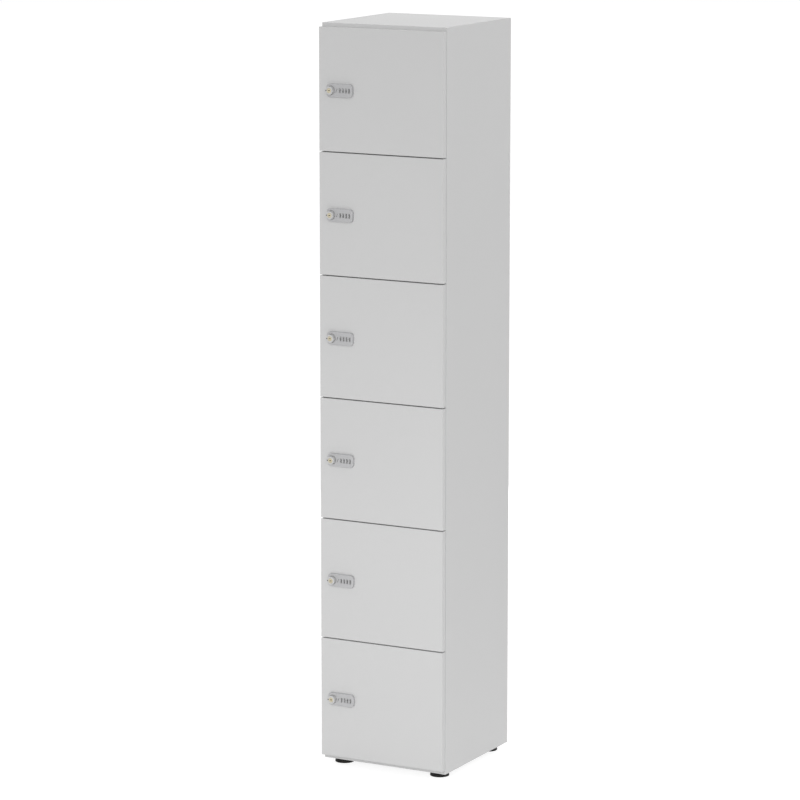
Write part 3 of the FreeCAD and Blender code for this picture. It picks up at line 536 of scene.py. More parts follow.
def black_foot():
    material, shader, place = new_finish("black_foot", specular=FOOT_SHINE)
    z = place.parts()[Z]
    grain = place.noise(FOOT_GRAIN, detail=4.0)
    dust = place.noise(DUST_GRAIN, detail=4.0).fade(0.35, 0.75) * z.fade(DUST_TOP, DUST_FULL)
    colour = (0.4 * dust).mix(FOOT_BLACK, FOOT_DUST)
    rough = 0.42 + 0.18 * grain + 0.25 * dust
    feed(shader, colour=colour, roughness=rough, normal=grain.bump(FOOT_GRAIN_DEPTH, strength=0.6))
    return material


corners = [f"{depth}_{side}" for depth in ("front", "rear") for side in ("left", "right")]
paint(black_foot(), *(f"levelling_foot_{corner}" for corner in corners))

# %% [markdown]
# ## Lock finishes
# The lock's case is die-cast zinc with a satin grey coat. The knob is turned and the brass plug is
# faced on a lathe, so both show rings round the knob's axis; a ring is noise that depends only on
# the radius and on the depth. Deep in the keyway and in the door's bore they are painted nearly
# black, as painted shade. The wheels are dark grey plastic with light printed digits. All six
# locks share each finish, so heights are measured from the nearest lock.

# %% Satin case
CASE_TONE = 0.465
CASE_TINT = (1.0, 1.0, 1.015, 1.0)
COAT_METALLIC = 0.1
BLAST_GRAIN = 0.22 * MM
BLAST_DEPTH = 0.012 * MM
CASE_CLOUD = 18 * MM
HANDLED_GRAIN = 5 * MM
HANDLED_FAR = 3.0 * MM
HANDLED_NEAR = 0.8 * MM

case_middle = (lock_low + lock_high) / 2
case_half = (lock_high - lock_low) / 2


def satin_case():
    """A satin coat, rubbed lighter and smoother in spots along the edges."""
    material, shader, place = new_finish("satin_case", metallic=COAT_METALLIC)
    x, _, z = place.parts()
    blast = place.noise(BLAST_GRAIN, detail=2.0)
    cloud = place.noise(CASE_CLOUD, detail=3.0)
    from_end = case_half.x - abs(x - case_middle.x)
    edge = from_end.least(case_half.z - abs(level_from(z, knob_axis.z)))
    spots = place.noise(HANDLED_GRAIN, detail=4.0).fade(0.35, 0.65)
    handled = edge.fade(HANDLED_FAR, HANDLED_NEAR) * spots
    light = CASE_TONE * (0.95 + 0.10 * cloud + 0.14 * handled)
    colour = light.mix(grey(0.0), CASE_TINT)
    rough = 0.42 + 0.10 * blast - 0.12 * handled
    feed(shader, colour=colour, roughness=rough, normal=blast.bump(BLAST_DEPTH, strength=0.5))
    return material


case_finish = satin_case()
print("case half", [round(side / MM, 1) for side in case_half], "mm")

# %% Turned knob and brass plug
TURNING_STEP = 0.16 * MM
TURNING_DEPTH = 0.008 * MM
TURNED_CLOUD = 4 * MM
NICK_SIZE = 0.8 * MM
# Painted shade: past a depth the turned parts go nearly black, in the keyway and in the door's bore.
DEPTH_SHADE_FADE = 0.8 * MM
DEPTH_SHADE = grey(0.02)
KNOB_DARK = grey(0.52)
KNOB_LIGHT = grey(0.60)
BRASS_DARK = (0.50, 0.45, 0.33, 1.0)
BRASS_LIGHT = (0.64, 0.59, 0.46, 1.0)
# The keyway's first millimetre keeps its brass; deeper, it gets painted shade.
KEYWAY_UNSHADED = 1.0 * MM


def turned_finish(name, metallic, dark, light, roughness, shaded_from):
    """Lathe rings round the axis of each knob; what lies deeper than a level is painted nearly black, as
    painted shade in the keyway and in the door's bore.
    """
    material, shader, place = new_finish(name, metallic=metallic)
    x, y, z = place.parts()
    radius = off_axis(x - knob_axis.x, level_from(z, knob_axis.z))
    along = {"W": radius + y, "Scale": 1 / TURNING_STEP, "Detail": 2.0}
    rings = place.node("TexNoise", {"noise_dimensions": "1D"}, along)
    cloud = place.noise(TURNED_CLOUD, detail=4.0)
    nicks = place.noise(NICK_SIZE, detail=5.0).fade(0.62, 0.70)
    # Painted shade, not dirt: deeper than the given level the colour goes nearly black and the surface
    # rougher.
    depth_shade = y.fade(shaded_from, shaded_from + DEPTH_SHADE_FADE)
    colour = (0.65 * cloud + 0.35 * rings).fade(0.3, 0.7).mix(dark, light)
    colour = (0.9 * depth_shade).mix(colour, DEPTH_SHADE)
    rough = roughness + 0.12 * rings + 0.08 * cloud + 0.10 * nicks + 0.3 * depth_shade
    height = rings - 0.6 * nicks
    feed(shader, colour=colour, roughness=rough, normal=height.bump(TURNING_DEPTH, strength=0.5))
    return material


knob_finish = turned_finish(
    "turned_knob", COAT_METALLIC, KNOB_DARK, KNOB_LIGHT, roughness=0.30, shaded_from=door_low.y
)
brass_finish = turned_finish(
    "faced_brass", 1.0, BRASS_DARK, BRASS_LIGHT, roughness=0.26, shaded_from=knob_low.y + KEYWAY_UNSHADED
)
print("turned:", knob_finish.name, "and", brass_finish.name)

# %% Code wheels, print and paint
WHEEL_DARK = grey(0.13)
WHEEL_RUBBED = grey(0.21)
WHEEL_GRAIN = 0.3 * MM
WHEEL_GRAIN_DEPTH = 0.015 * MM
RUBBED_GRAIN = 1.5 * MM
RUBBED_RIM = 0.5 * MM
INK_SHINE = 0.4
INK_GRAIN = 0.7 * MM
INK_DEPTH = 0.01 * MM

wheel_radius = (wheel_high.y - wheel_low.y) / 2


def wheel_plastic():
    """Dark grey plastic that fingers have rubbed lighter on the rim."""
    material, shader, place = new_finish("wheel_plastic")
    _, y, z = place.parts()
    radius = off_axis(y - wheel_axis.y, level_from(z, wheel_axis.z))
    grain = place.noise(WHEEL_GRAIN, detail=3.0)
    rubbed = radius.fade(wheel_radius - RUBBED_RIM, wheel_radius) * place.noise(RUBBED_GRAIN, detail=3.0)
    colour = rubbed.mix(WHEEL_DARK, WHEEL_RUBBED)
    rough = 0.38 + 0.15 * grain - 0.12 * rubbed
    feed(shader, colour=colour, roughness=rough, normal=grain.bump(WHEEL_GRAIN_DEPTH, strength=0.5))
    return material


def print_ink(name, worn, fresh):
    """Printed or filled colour that is a little worn away."""
    material, shader, place = new_finish(name, specular=INK_SHINE)
    kept = place.noise(INK_GRAIN, detail=4.0).fade(0.25, 0.55)
    rough = 0.55 - 0.10 * kept
    feed(shader, colour=kept.mix(worn, fresh), roughness=rough, normal=kept.bump(INK_DEPTH, strength=0.4))
    return material


wheel_finish = wheel_plastic()
digit_finish = print_ink("digit_print", worn=grey(0.55), fresh=grey(0.85))
paint_finish = print_ink("black_fill", worn=grey(0.030), fresh=grey(0.010))
print("finishes:", len(bpy.data.materials))

# %% [markdown]
# ## Working by hand, in code
# Each new piece starts from a primitive of the right size, and then the tools of edit mode shape it:
# inset, extrude, bevel, bisect. In a script nothing can be clicked, so faces and edges are chosen by
# where they lie. A finished piece has its place in its mesh and its object at the origin, the way
# the frame's own nodes are, so that patterns measured on the object stay put.

# %% Boxes and rods
ROD_SIDES = 64
SMALL_SIDES = 32
LYING = {X: (0, math.pi / 2, 0), Y: (math.pi / 2, 0, 0), Z: (0, 0, 0)}


def only(piece):
    """Selects one object and nothing else."""
    bpy.ops.object.select_all(action="DESELECT")
    piece.select_set(True)
    bpy.context.view_layer.objects.active = piece


def settle(piece, name):
    """Puts an object's place, turn and size into its mesh, and names both."""
    only(piece)
    bpy.ops.object.transform_apply(location=True, rotation=True, scale=True)
    piece.name = name
    piece.data.name = name
    return piece


def block(name, low, high):
    """A box between two corners."""
    bpy.ops.object.select_all(action="DESELECT")
    bpy.ops.mesh.primitive_cube_add(size=1, location=(low + high) / 2)
    piece = bpy.context.object
    piece.scale = high - low
    return settle(piece, name)


def rod(name, start, radius, length, axis, sides=ROD_SIDES):
    """A round bar that starts at a point and runs along one axis."""
    middle = start.copy()
    middle[axis] += length / 2
    bpy.ops.object.select_all(action="DESELECT")
    bpy.ops.mesh.primitive_cylinder_add(
        vertices=sides, radius=radius, depth=length, location=middle, rotation=LYING[axis]
    )
    return settle(bpy.context.object, name)


print("rods have", ROD_SIDES, "sides, small ones", SMALL_SIDES)

# %% Edit mode, faces and edges
TOUCH = 0.02 * MM
PARALLEL = 0.999


@contextmanager
def editing(piece):
    """Edit mode on one object for as long as the block lasts."""
    only(piece)
    bpy.ops.object.mode_set(mode="EDIT")
    yield
    bpy.ops.object.mode_set(mode="OBJECT")


def pick(piece, kind, wanted):
    """In edit mode, selects the faces or edges that pass a test and nothing else."""
    bpy.ops.mesh.select_mode(type=kind)
    bpy.ops.mesh.select_all(action="DESELECT")
    mesh = bmesh.from_edit_mesh(piece.data)
    for element in (mesh.faces if kind == "FACE" else mesh.edges):
        if wanted(element):
            element.select_set(True)
    bmesh.update_edit_mesh(piece.data)


def lies_on(axis, level):
    """A test for faces and edges that lie on one level of an axis."""
    return lambda element: all(abs(corner.co[axis] - level) < TOUCH for corner in element.verts)


def runs_along(axis):
    """A test for edges that run along one axis."""
    return lambda edge: abs((edge.verts[1].co - edge.verts[0].co).normalized()[axis]) > PARALLEL


def circle_on(centre, radius, level):
    """A test for the edges of one circle round a Y axis."""
    def wanted(edge):
        for corner in edge.verts:
            reach = math.hypot(corner.co.x - centre.x, corner.co.z - centre.z)
            if abs(reach - radius) > TOUCH or abs(corner.co.y - level) > TOUCH:
                return False
        return True
    return wanted


print("faces and edges are found within", TOUCH / MM, "mm")

# %% Rounding, cutting and finishing
SMOOTH_BELOW = math.radians(32)


def bevel(piece, wanted, width, steps):
    """Rounds the edges that pass a test."""
    with editing(piece):
        pick(piece, "EDGE", wanted)
        bpy.ops.mesh.bevel(offset=width, segments=steps, affect="EDGES")


def cut(piece, cutter):
    """Takes the cutter's shape out of a piece, and the cutter away."""
    only(piece)
    modifier = piece.modifiers.new("cut", "BOOLEAN")
    modifier.operation = "DIFFERENCE"
    modifier.solver = "EXACT"
    modifier.object = cutter
    bpy.ops.object.modifier_apply(modifier=modifier.name)
    bpy.data.objects.remove(cutter)


def finished(piece, finish):
    """Gives a piece its one finish, and smooth rounds beside flat faces that stay flat."""
    piece.data.materials.clear()
    piece.data.materials.append(finish)
    only(piece)
    bpy.ops.object.shade_smooth_by_angle(angle=SMOOTH_BELOW)
    modifier = piece.modifiers.new("even", "WEIGHTED_NORMAL")
    modifier.keep_sharp = True
    bpy.ops.object.modifier_apply(modifier=modifier.name)
    return piece


print("edges under", round(math.degrees(SMOOTH_BELOW)), "degrees are shaded smooth")

# %% Copies for every door
def copied(piece, name, shift=(0, 0, 0), turn=(0, 0, 0)):
    """A copy with its own mesh, turned about the origin and then moved."""
    only(piece)
    bpy.ops.object.duplicate(linked=False)
    twin = bpy.context.object
    twin.rotation_euler = turn
    twin.location = shift
    return settle(twin, name)


def hang(piece, label, body, node=None):
    """Copies a piece of the top door to every door and says what it rides on and stands for."""
    for door in DOORS:
        name = f"{label}_{door}"
        drop = (0, 0, (1 - door) * door_pitch)
        twin = settle(piece, name) if door == 1 else copied(piece, name, drop)
        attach(twin, body.format(door))
        if node:
            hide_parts(node.format(door))
    print(label, "on", len(DOORS), "doors,", len(piece.data.polygons), "faces each")


print("copies hang", round(door_pitch / MM, 1), "mm apart")

# %% [markdown]
# ## Lock case
# The front of the lock is a flat die-cast box with round corners and a soft front rim. It has a bore
# for the knob and four windows where the code wheels come through, and it is hollow behind them.
# A box with bevelled edges gives the outside. The bore, the hollow and the windows are cut with
# booleans, as a miller would, and the window edges are eased last.

# %% Case body
CASE_CORNER = 11 * MM
CASE_RIM = 2.5 * MM
SEAT_RADIUS = 12.75 * MM
SEAT_DEPTH = 3 * MM
SEAT_EASE = 0.2 * MM
BORE_RADIUS = 8.6 * MM
CUT_PAST = 2 * MM

case_face = lock_low.y
door_face = door_low.y
door_back = door_high.y
case = block("lock_case", lock_low, Vector((lock_high.x, door_face, lock_high.z)))
bevel(case, runs_along(Y), CASE_CORNER, steps=10)
bevel(case, lies_on(Y, case_face), CASE_RIM, steps=5)
bore_start = Vector((knob_axis.x, case_face - CUT_PAST, knob_axis.z))
cut(case, rod("seat", bore_start, SEAT_RADIUS, SEAT_DEPTH + CUT_PAST, Y))
cut(case, rod("bore", bore_start, BORE_RADIUS, door_face - case_face + 2 * CUT_PAST, Y))
bevel(case, circle_on(knob_axis, SEAT_RADIUS, case_face), SEAT_EASE, steps=2)
print("case", [round(side / MM, 1) for side in case.dimensions], "mm")

# %% Windows and hollow
WHEEL_ROOM = 1.0 * MM
CASE_WALL = 1.5 * MM
WINDOW_PLAY = 0.4 * MM
WINDOW_EASE = 0.45 * MM

wheel_half = (wheel_high.x - wheel_low.x) / 2
wheel_spots = [
    Vector((wheel_axis.x + wheel_pitch * (wheel - 1), wheel_axis.y, wheel_axis.z)) for wheel in WHEELS
]
room_low = wheel_spots[0] - Vector((wheel_half + WHEEL_ROOM, 0, wheel_radius + WHEEL_ROOM))
room_high = wheel_spots[-1] + Vector((wheel_half + WHEEL_ROOM, 0, wheel_radius + WHEEL_ROOM))
room_low.y = case_face + CASE_WALL
room_high.y = door_face + CUT_PAST
cut(case, block("room", room_low, room_high))
chord = wheel_axis.y - room_low.y
window_half = math.sqrt(wheel_radius ** 2 - chord ** 2) + WINDOW_PLAY
for spot in wheel_spots:
    window = Vector((wheel_half + WINDOW_PLAY, 0, window_half))
    low = spot - window
    high = spot + window
    low.y = case_face - CUT_PAST
    high.y = room_low.y + CASE_WALL
    cut(case, block("window", low, high))


def in_window(corner):
    """A test for corners that lie within the width and height of the windows."""
    within = room_low.x < corner.co.x < room_high.x
    return within and abs(corner.co.z - wheel_axis.z) < window_half + TOUCH


def window_edge(edge):
    """A test for the front edges of the windows."""
    return lies_on(Y, case_face)(edge) and all(in_window(corner) for corner in edge.verts)


bevel(case, window_edge, WINDOW_EASE, steps=3)
finished(case, case_finish)
hang(case, "lock_case", "door_{}", "lock_body_{}")

# %% [markdown]
# ## Index stroke
# A slanted dark stroke is filled into the case between the knob and the wheels. Against it, the dot
# on the knob shows whether the lock is open. It is a thin bar with round ends, turned in edit mode and
# sunk so that only a trace stands proud.

# %% Stroke inlay
STROKE_OFFSET = 19.0 * MM
STROKE_HALF = Vector((0.58 * MM, 0.18 * MM, 5.6 * MM))
STROKE_END = 0.54 * MM
STROKE_EASE = 0.04 * MM
STROKE_SLANT = math.radians(22)
INLAY_PROUD = 0.06 * MM

stroke_face = case_face - INLAY_PROUD
stroke_middle = Vector((knob_axis.x + STROKE_OFFSET, stroke_face + STROKE_HALF.y, knob_axis.z))
stroke = block("stroke", stroke_middle - STROKE_HALF, stroke_middle + STROKE_HALF)
bevel(stroke, runs_along(Y), STROKE_END, steps=4)
bevel(stroke, lies_on(Y, stroke_face), STROKE_EASE, steps=1)
with editing(stroke):
    bpy.ops.mesh.select_all(action="SELECT")
    bpy.ops.transform.rotate(value=-STROKE_SLANT, orient_axis="Y", center_override=stroke_middle)
finished(stroke, paint_finish)
hang(stroke, "index_stroke", "door_{}")

# %% [markdown]
# ## Knob
# The knob is turned from bar: a thick disc with a soft front rim, bored for the brass plug, and behind
# it a barrel that goes through the door to the latch. The square on which the latch cam sits is hidden
# in the cam, so the barrel ends at the cam here. A cylinder does all of it: inset and extrude on the
# front make the bore, and the same on the back make the barrel. The dot's recess is drilled at the end.

# %% Knob body
KNOB_GAP = 0.4 * MM
PLUG_RADIUS = 7.25 * MM
PLUG_PLAY = 0.05 * MM
PLUG_DEPTH = 6 * MM
BARREL_RADIUS = 8.5 * MM
CAM_THICKNESS = 3 * MM
CAM_SCREW_HEIGHT = 3.5 * MM
KNOB_SIDES = 96

knob_face = knob_low.y
knob_back = case_face + SEAT_DEPTH - KNOB_GAP
knob_radius = knob_high.x - knob_axis.x
plug_bore = PLUG_RADIUS + PLUG_PLAY
cam_back = knob_high.y - CAM_SCREW_HEIGHT
cam_face = cam_back - CAM_THICKNESS
knob_start = Vector((knob_axis.x, knob_face, knob_axis.z))
knob = rod("knob", knob_start, knob_radius, knob_back - knob_face, Y, KNOB_SIDES)
with editing(knob):
    pick(knob, "FACE", lies_on(Y, knob_face))
    bpy.ops.mesh.inset(thickness=knob_radius - plug_bore)
    bpy.ops.mesh.extrude_region_move(TRANSFORM_OT_translate={"value": (0, PLUG_DEPTH, 0)})
    pick(knob, "FACE", lies_on(Y, knob_back))
    bpy.ops.mesh.inset(thickness=knob_radius - BARREL_RADIUS)
    bpy.ops.mesh.extrude_region_move(TRANSFORM_OT_translate={"value": (0, cam_face - knob_back, 0)})
print("knob radius", round(knob_radius / MM, 2), "mm, barrel to", round(cam_face, 4))

# %% Knob rim and dot
KNOB_RIM = 0.6 * MM
KNOB_EASE = 0.3 * MM
DOT_RADIUS = 1.8 * MM
DOT_DEPTH = 0.5 * MM

bevel(knob, circle_on(knob_axis, knob_radius, knob_face), KNOB_RIM, steps=4)
bevel(knob, circle_on(knob_axis, plug_bore, knob_face), KNOB_EASE, steps=2)
bevel(knob, circle_on(knob_axis, knob_radius, knob_back), KNOB_EASE, steps=2)
dot_reach = (knob_radius + plug_bore) / 2
dot_start = Vector((knob_axis.x - dot_reach, knob_face - DOT_DEPTH, knob_axis.z))
cut(knob, rod("drill", dot_start, DOT_RADIUS, 2 * DOT_DEPTH, Y, SMALL_SIDES))
finished(knob, knob_finish)
hang(knob, "knob_ring", "knob_{}", "lock_knob_{}")

# %% [markdown]
# ## Key plug and index dot
# A master key opens the lock through a brass plug in the middle of the knob. Its face is turned flat
# with an eased rim, and the keyway is a level slot with a small ward beside it, so the key goes in
# one way round. The slot lies level while the lock is open. The black dot is a drop of paint in its
# recess, with a domed face.

# %% Plug
PLUG_SUNK = 0.15 * MM
PLUG_EASE = 0.5 * MM
KEYWAY_HALF = Vector((3.25 * MM, 3.0 * MM, 0.8 * MM))
KEYWAY_EASE = 0.12 * MM
KEYWAY_REACH = 5 * MM
WARD_HALF = Vector((1.1 * MM, 3.0 * MM, 0.45 * MM))
WARD_OFFSET = 1.2 * MM

plug_start = Vector((knob_axis.x, knob_face + PLUG_SUNK, knob_axis.z))
plug = rod("plug", plug_start, PLUG_RADIUS, PLUG_DEPTH - PLUG_SUNK, Y, KNOB_SIDES)
bevel(plug, circle_on(knob_axis, PLUG_RADIUS, plug_start.y), PLUG_EASE, steps=3)
ward_spot = plug_start + Vector((WARD_OFFSET, 0, -KEYWAY_HALF.z - WARD_HALF.z / 2))
cut(plug, block("keyway", plug_start - KEYWAY_HALF, plug_start + KEYWAY_HALF))
cut(plug, block("ward", ward_spot - WARD_HALF, ward_spot + WARD_HALF))


def keyway_edge(edge):
    """A test for the front edges of the keyway, which lie well inside the plug's rim."""
    reach = max(math.hypot(corner.co.x - knob_axis.x, corner.co.z - knob_axis.z) for corner in edge.verts)
    return reach < KEYWAY_REACH and lies_on(Y, plug_start.y)(edge)


bevel(plug, keyway_edge, KEYWAY_EASE, steps=2)
finished(plug, brass_finish)
hang(plug, "key_plug", "knob_{}", "lock_knob_{}")

# %% Dot
DOT_SUNK = 0.08 * MM
DOT_PLAY = 0.03 * MM
DOT_DOME = 0.22 * MM

paint_start = Vector((dot_start.x, knob_face + DOT_SUNK, dot_start.z))
dot = rod("dot", paint_start, DOT_RADIUS - DOT_PLAY, DOT_DEPTH - DOT_SUNK, Y, SMALL_SIDES)
bevel(dot, lies_on(Y, paint_start.y), DOT_DOME, steps=3)
finished(dot, paint_finish)
hang(dot, "index_dot", "knob_{}", "lock_knob_{}")

# %% [markdown]
# ## Code wheels
# Four thumb wheels turn on one axle. Each has ten digits and, half way between two digits, a notch
# for the finger. A cylinder with sixty sides has an edge at every notch, so those edges are drawn in
# towards the axle, and the rims are bevelled. The digits are text made into mesh, cut across so that
# they can bend, pressed on to the drum by a Shrinkwrap and given a trace of thickness.

# %% Wheel drum
DIGITS = 10
STEP = 2 * math.pi / DIGITS
STEP_TOUCH = 0.01
WHEEL_SIDES = 60
WHEEL_RIM = 0.4 * MM
NOTCH_DEPTH = 0.8 * MM
AXLE_RADIUS = 1.5 * MM
AXLE_PLAY = 0.08 * MM

drum_start = Vector((-wheel_half, 0, 0))
drum = rod("drum", drum_start, wheel_radius, 2 * wheel_half, X, WHEEL_SIDES)


def in_notch(edge):
    """A test for the edges along the drum that lie on a full step."""
    middle = (edge.verts[0].co + edge.verts[1].co) / 2
    steps = math.atan2(middle.y, middle.z) / STEP
    return runs_along(X)(edge) and abs(steps - round(steps)) < STEP_TOUCH


with editing(drum):
    pick(drum, "EDGE", in_notch)
    notch_scale = 1 - NOTCH_DEPTH / wheel_radius
    bpy.ops.transform.resize(value=(1, notch_scale, notch_scale), center_override=(0, 0, 0))
for end in (wheel_half, -wheel_half):
    bevel(drum, lies_on(X, end), WHEEL_RIM, steps=3)
hole_start = Vector((-2 * wheel_half, 0, 0))
cut(drum, rod("axle_hole", hole_start, AXLE_RADIUS + AXLE_PLAY, 4 * wheel_half, X, SMALL_SIDES))
finished(drum, wheel_finish)
print("drum radius", round(wheel_radius / MM, 2), "mm,", len(drum.data.polygons), "faces")

# %% One digit
DIGIT_SIZE = 4.0 * MM
DIGIT_BOLD = 0.09 * MM
DIGIT_CURVES = 3
DIGIT_CUTS = 5
WELD = 0.001 * MM
PRINT_THICKNESS = 0.03 * MM


def digit_mark(digit, press):
    """One digit bent round the drum, on the side that faces forward when the wheel stands at it."""
    bpy.ops.object.select_all(action="DESELECT")
    bpy.ops.object.text_add()
    text = bpy.context.object
    text.data.body = str(digit)
    text.data.size = DIGIT_SIZE
    text.data.resolution_u = DIGIT_CURVES
    text.data.offset = DIGIT_BOLD
    bpy.ops.object.convert(target="MESH")
    mark = bpy.context.object
    bpy.ops.object.origin_set(type="ORIGIN_GEOMETRY", center="BOUNDS")
    half = mark.dimensions.y / 2
    mark.location = (0, 0, 2 * wheel_radius)
    settle(mark, f"digit_{digit}")
    with editing(mark):
        bpy.ops.mesh.select_all(action="SELECT")
        bpy.ops.mesh.remove_doubles(threshold=WELD)
        for line in range(1, DIGIT_CUTS + 1):
            bpy.ops.mesh.select_all(action="SELECT")
            level = half * (2 * line / (DIGIT_CUTS + 1) - 1)
            bpy.ops.mesh.bisect(plane_co=(0, level, 0), plane_no=(0, 1, 0))
    wrap = mark.modifiers.new("press", "SHRINKWRAP")
    wrap.wrap_method = "PROJECT"
    wrap.use_project_z = True
    wrap.use_positive_direction = False
    wrap.use_negative_direction = True
    wrap.target = press
    bpy.ops.object.modifier_apply(modifier=wrap.name)
    wall = mark.modifiers.new("ink", "SOLIDIFY")
    wall.thickness = PRINT_THICKNESS
    wall.offset = 1.0
    bpy.ops.object.modifier_apply(modifier=wall.name)
    mark.rotation_euler = (math.pi / 2 + digit * STEP, 0, 0)
    return settle(mark, f"digit_{digit}")


print("digits are", DIGIT_SIZE / MM, "mm type, cut across", DIGIT_CUTS, "times")

# %% All digits
PRINT_GAP = 0.01 * MM
PRESS_SIDES = 180


def joined(pieces, name):
    """One object out of several."""
    only(pieces[0])
    for piece in pieces:
        piece.select_set(True)
    bpy.ops.object.join()
    return settle(bpy.context.object, name)


press = rod("press", drum_start, wheel_radius + PRINT_GAP, 2 * wheel_half, X, PRESS_SIDES)
marks = joined([digit_mark(digit, press) for digit in range(DIGITS)], "digits")
bpy.data.objects.remove(press)
marks.data.materials.append(digit_finish)
wheel_master = joined([drum, marks], "code_wheel_master")
print("one wheel with its digits:", len(wheel_master.data.polygons), "faces")

# %% Wheels in place
# The wheels stand at mixed digits, as people leave them.
DOOR_STRIDE = 3
WHEEL_STRIDE = 2

for door in DOORS:
    for wheel in WHEELS:
        shown = (DOOR_STRIDE * door + WHEEL_STRIDE * wheel) % DIGITS
        spot = axes[f"wheel_{door}_{wheel}_turn"].copy()
        spot.x = wheel_spots[wheel - 1].x
        twin = copied(wheel_master, f"digit_wheel_{door}_{wheel}", spot, (-shown * STEP, 0, 0))
        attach(twin, f"wheel_{door}_{wheel}")
        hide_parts(f"code_wheel_{door}_{wheel}")
bpy.data.objects.remove(wheel_master)
print("wheels:", len(DOORS) * len(WHEELS))

# %% Axle
AXLE_EASE = 0.3 * MM

axle_start = Vector((room_low.x, wheel_axis.y, wheel_axis.z))
axle = rod("axle", axle_start, AXLE_RADIUS, room_high.x - room_low.x, X, SMALL_SIDES)
for end in (room_low.x, room_high.x):
    bevel(axle, lies_on(X, end), AXLE_EASE, steps=2)
finished(axle, steel)
hang(axle, "wheel_axle", "door_{}", "lock_body_{}")

# %% [markdown]
# ## Behind the door
# The lock's rear case is a shallow cover on the back of the door, and behind it a flat latch cam sits
# on the barrel's square end. Turning the knob swings the cam into a slot in the side panel. Both are
# boxes with round corners; the cam's lower end is the free one. A screw with a cross recess holds the
# cam, and two more hold the cover.

# %% Rear case
REAR_LENGTH = 58 * MM
REAR_OVERHANG = 15 * MM
REAR_HALF = 17 * MM
REAR_CORNER = 6 * MM
REAR_RIM = 1.5 * MM

rear_low = Vector((knob_axis.x - REAR_OVERHANG, door_back, knob_axis.z - REAR_HALF))
rear_high = Vector((rear_low.x + REAR_LENGTH, lock_high.y, knob_axis.z + REAR_HALF))
rear = block("rear_case", rear_low, rear_high)
bevel(rear, runs_along(Y), REAR_CORNER, steps=8)
bevel(rear, lies_on(Y, rear_high.y), REAR_RIM, steps=4)
rear_bore = Vector((knob_axis.x, door_back - CUT_PAST, knob_axis.z))
cut(rear, rod("bore", rear_bore, BORE_RADIUS, rear_high.y - door_back + 2 * CUT_PAST, Y))
finished(rear, case_finish)
hang(rear, "rear_case", "door_{}", "lock_body_{}")

# %% Latch cam
CAM_HALF = 6 * MM
CAM_CORNER = 4 * MM
CAM_EASE = 0.4 * MM

cam_low = Vector((knob_axis.x - CAM_HALF, cam_face, knob_low.z))
cam_high = Vector((knob_axis.x + CAM_HALF, cam_back, knob_axis.z + CAM_HALF))
cam = block("latch_cam", cam_low, cam_high)
bevel(cam, runs_along(Y), CAM_CORNER, steps=6)
for face in (cam_back, cam_face):
    bevel(cam, lies_on(Y, face), CAM_EASE, steps=2)
finished(cam, steel)
hang(cam, "latch_cam", "knob_{}", "lock_knob_{}")

# %% [markdown]
# ## Screws
# Every screw is the same thing at another size: a low round head with a soft shoulder and a cross
# recess. One master is modelled facing up with its seat on the origin, and copies are turned to face
# the right way. Real screws stop at any angle, so each copy is also turned a different amount.

# %% Screw master
SHOULDER = 0.55
RECESS_LONG = 0.62
RECESS_WIDE = 0.15
RECESS_DEEP = 0.6
TURN_STEP = math.radians(37)
FACES_BACK = (-math.pi / 2, 0, 0)
FACES_LEFT = (0, -math.pi / 2, 0)


def screw_head(radius, height):
    """A low head that faces up, with a cross recess."""
    head = rod("screw", Vector((0, 0, 0)), radius, height, Z, SMALL_SIDES)
    bevel(head, lies_on(Z, height), SHOULDER * height, steps=3)
    top = Vector((0, 0, height))
    for long_way, short_way in ((X, Y), (Y, X)):
        half = Vector((0, 0, RECESS_DEEP * height))
        half[long_way] = RECESS_LONG * radius
        half[short_way] = RECESS_WIDE * radius
        cut(head, block("recess", top - half, top + half))
    return finished(head, steel)


def screws_at(name, radius, height, facing, spots):
    """Copies of one screw head at several spots, as one piece."""
    master = screw_head(radius, height)
    turned = [copied(master, "screw", turn=(0, 0, TURN_STEP * count)) for count in range(len(spots))]
    placed = [copied(head, name, spot, facing) for head, spot in zip(turned, spots)]
    for spare in [master] + turned:
        bpy.data.objects.remove(spare)
    return joined(placed, name)


print("each screw stops", round(math.degrees(TURN_STEP)), "degrees past the one before")

# %% Lock screws
CAM_SCREW_RADIUS = 6 * MM
COVER_SCREW_RADIUS = 3.4 * MM
COVER_SCREW_HEIGHT = 1.6 * MM
COVER_SCREW_INSET = 10 * MM
COVER_SCREW_SPREAD = 9 * MM

cam_spot = Vector((knob_axis.x, cam_back, knob_axis.z))
cam_screw = screws_at("cam_screw", CAM_SCREW_RADIUS, CAM_SCREW_HEIGHT, FACES_BACK, [cam_spot])
hang(cam_screw, "latch_screw", "knob_{}", "lock_knob_{}")

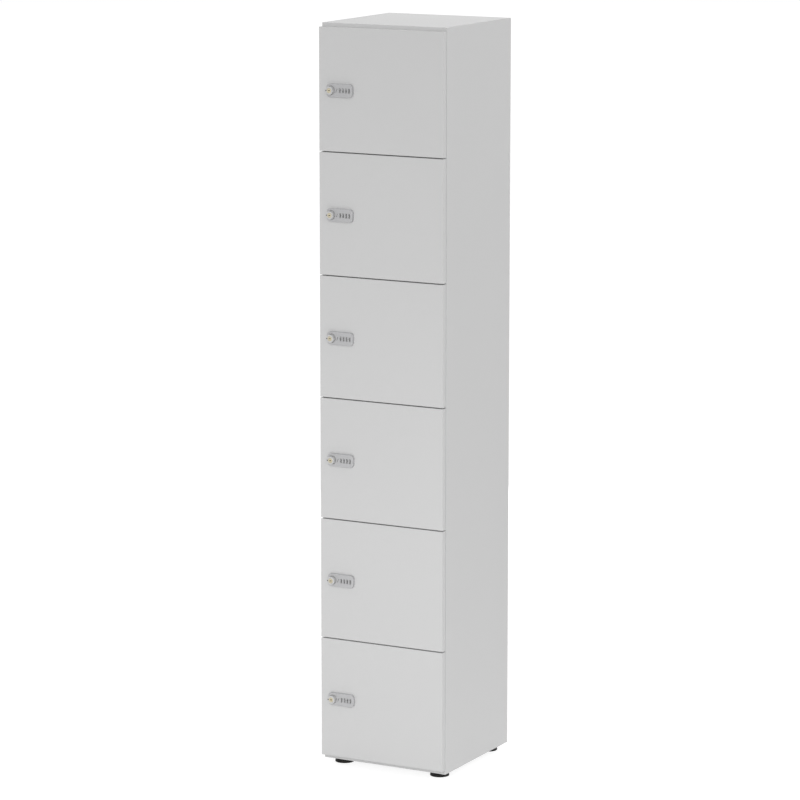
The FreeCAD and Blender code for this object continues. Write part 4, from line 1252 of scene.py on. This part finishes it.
cover_x = rear_high.x - COVER_SCREW_INSET
cover_levels = [knob_axis.z + side * COVER_SCREW_SPREAD for side in (-1, 1)]
cover_spots = [Vector((cover_x, rear_high.y, level)) for level in cover_levels]
cover_screws = screws_at("rear_screws", COVER_SCREW_RADIUS, COVER_SCREW_HEIGHT, FACES_BACK, cover_spots)
hang(cover_screws, "rear_case_screws", "door_{}")

# %% Hinge screws
EAR_HALF = 28 * MM
EAR_SCREW_REACH = 24 * MM
EAR_SCREW_RADIUS = 3.2 * MM
EAR_SCREW_HEIGHT = 0.6 * MM
PLATE_THICKNESS = 3 * MM
PLATE_MIDDLE = 37 * MM
PLATE_SCREW_REACH = 16 * MM
PLATE_SCREW_RADIUS = 3.6 * MM
PLATE_SCREW_HEIGHT = 1.8 * MM
ARM_SCREW_DEPTHS = (18 * MM, 52 * MM)
ARM_SCREW_RADIUS = 3.0 * MM
ARM_SCREW_HEIGHT = 1.2 * MM

cup_low, cup_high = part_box("hinge_cups_1")
cup_middle = (cup_low.x + cup_high.x) / 2
hinge_levels = (cup_low.z + EAR_HALF, cup_high.z - EAR_HALF)
plate_face = side_low.x - PLATE_THICKNESS
arm_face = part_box("hinge_arms")[0].x


def beside_hinges(x, y, reach):
    """Spots above and below the middle of both hinges of the top door."""
    return [Vector((x, y, level + side * reach)) for level in hinge_levels for side in (-1, 1)]


ear_spots = beside_hinges(cup_middle, cup_high.y, EAR_SCREW_REACH)
ear_screws = screws_at("ear_screws", EAR_SCREW_RADIUS, EAR_SCREW_HEIGHT, FACES_BACK, ear_spots)
hang(ear_screws, "cup_screws", "door_{}")

plate_spots = beside_hinges(plate_face, side_low.y + PLATE_MIDDLE, PLATE_SCREW_REACH)
plate_screws = screws_at("plate_screws", PLATE_SCREW_RADIUS, PLATE_SCREW_HEIGHT, FACES_LEFT, plate_spots)
hang(plate_screws, "mounting_screws", "carcass")

arm_places = [(side_low.y + depth, level) for level in hinge_levels for depth in ARM_SCREW_DEPTHS]
arm_spots = [Vector((arm_face, y, z)) for y, z in arm_places]
arm_screws = screws_at("arm_screws", ARM_SCREW_RADIUS, ARM_SCREW_HEIGHT, FACES_LEFT, arm_spots)
hang(arm_screws, "adjusting_screws", "carcass")
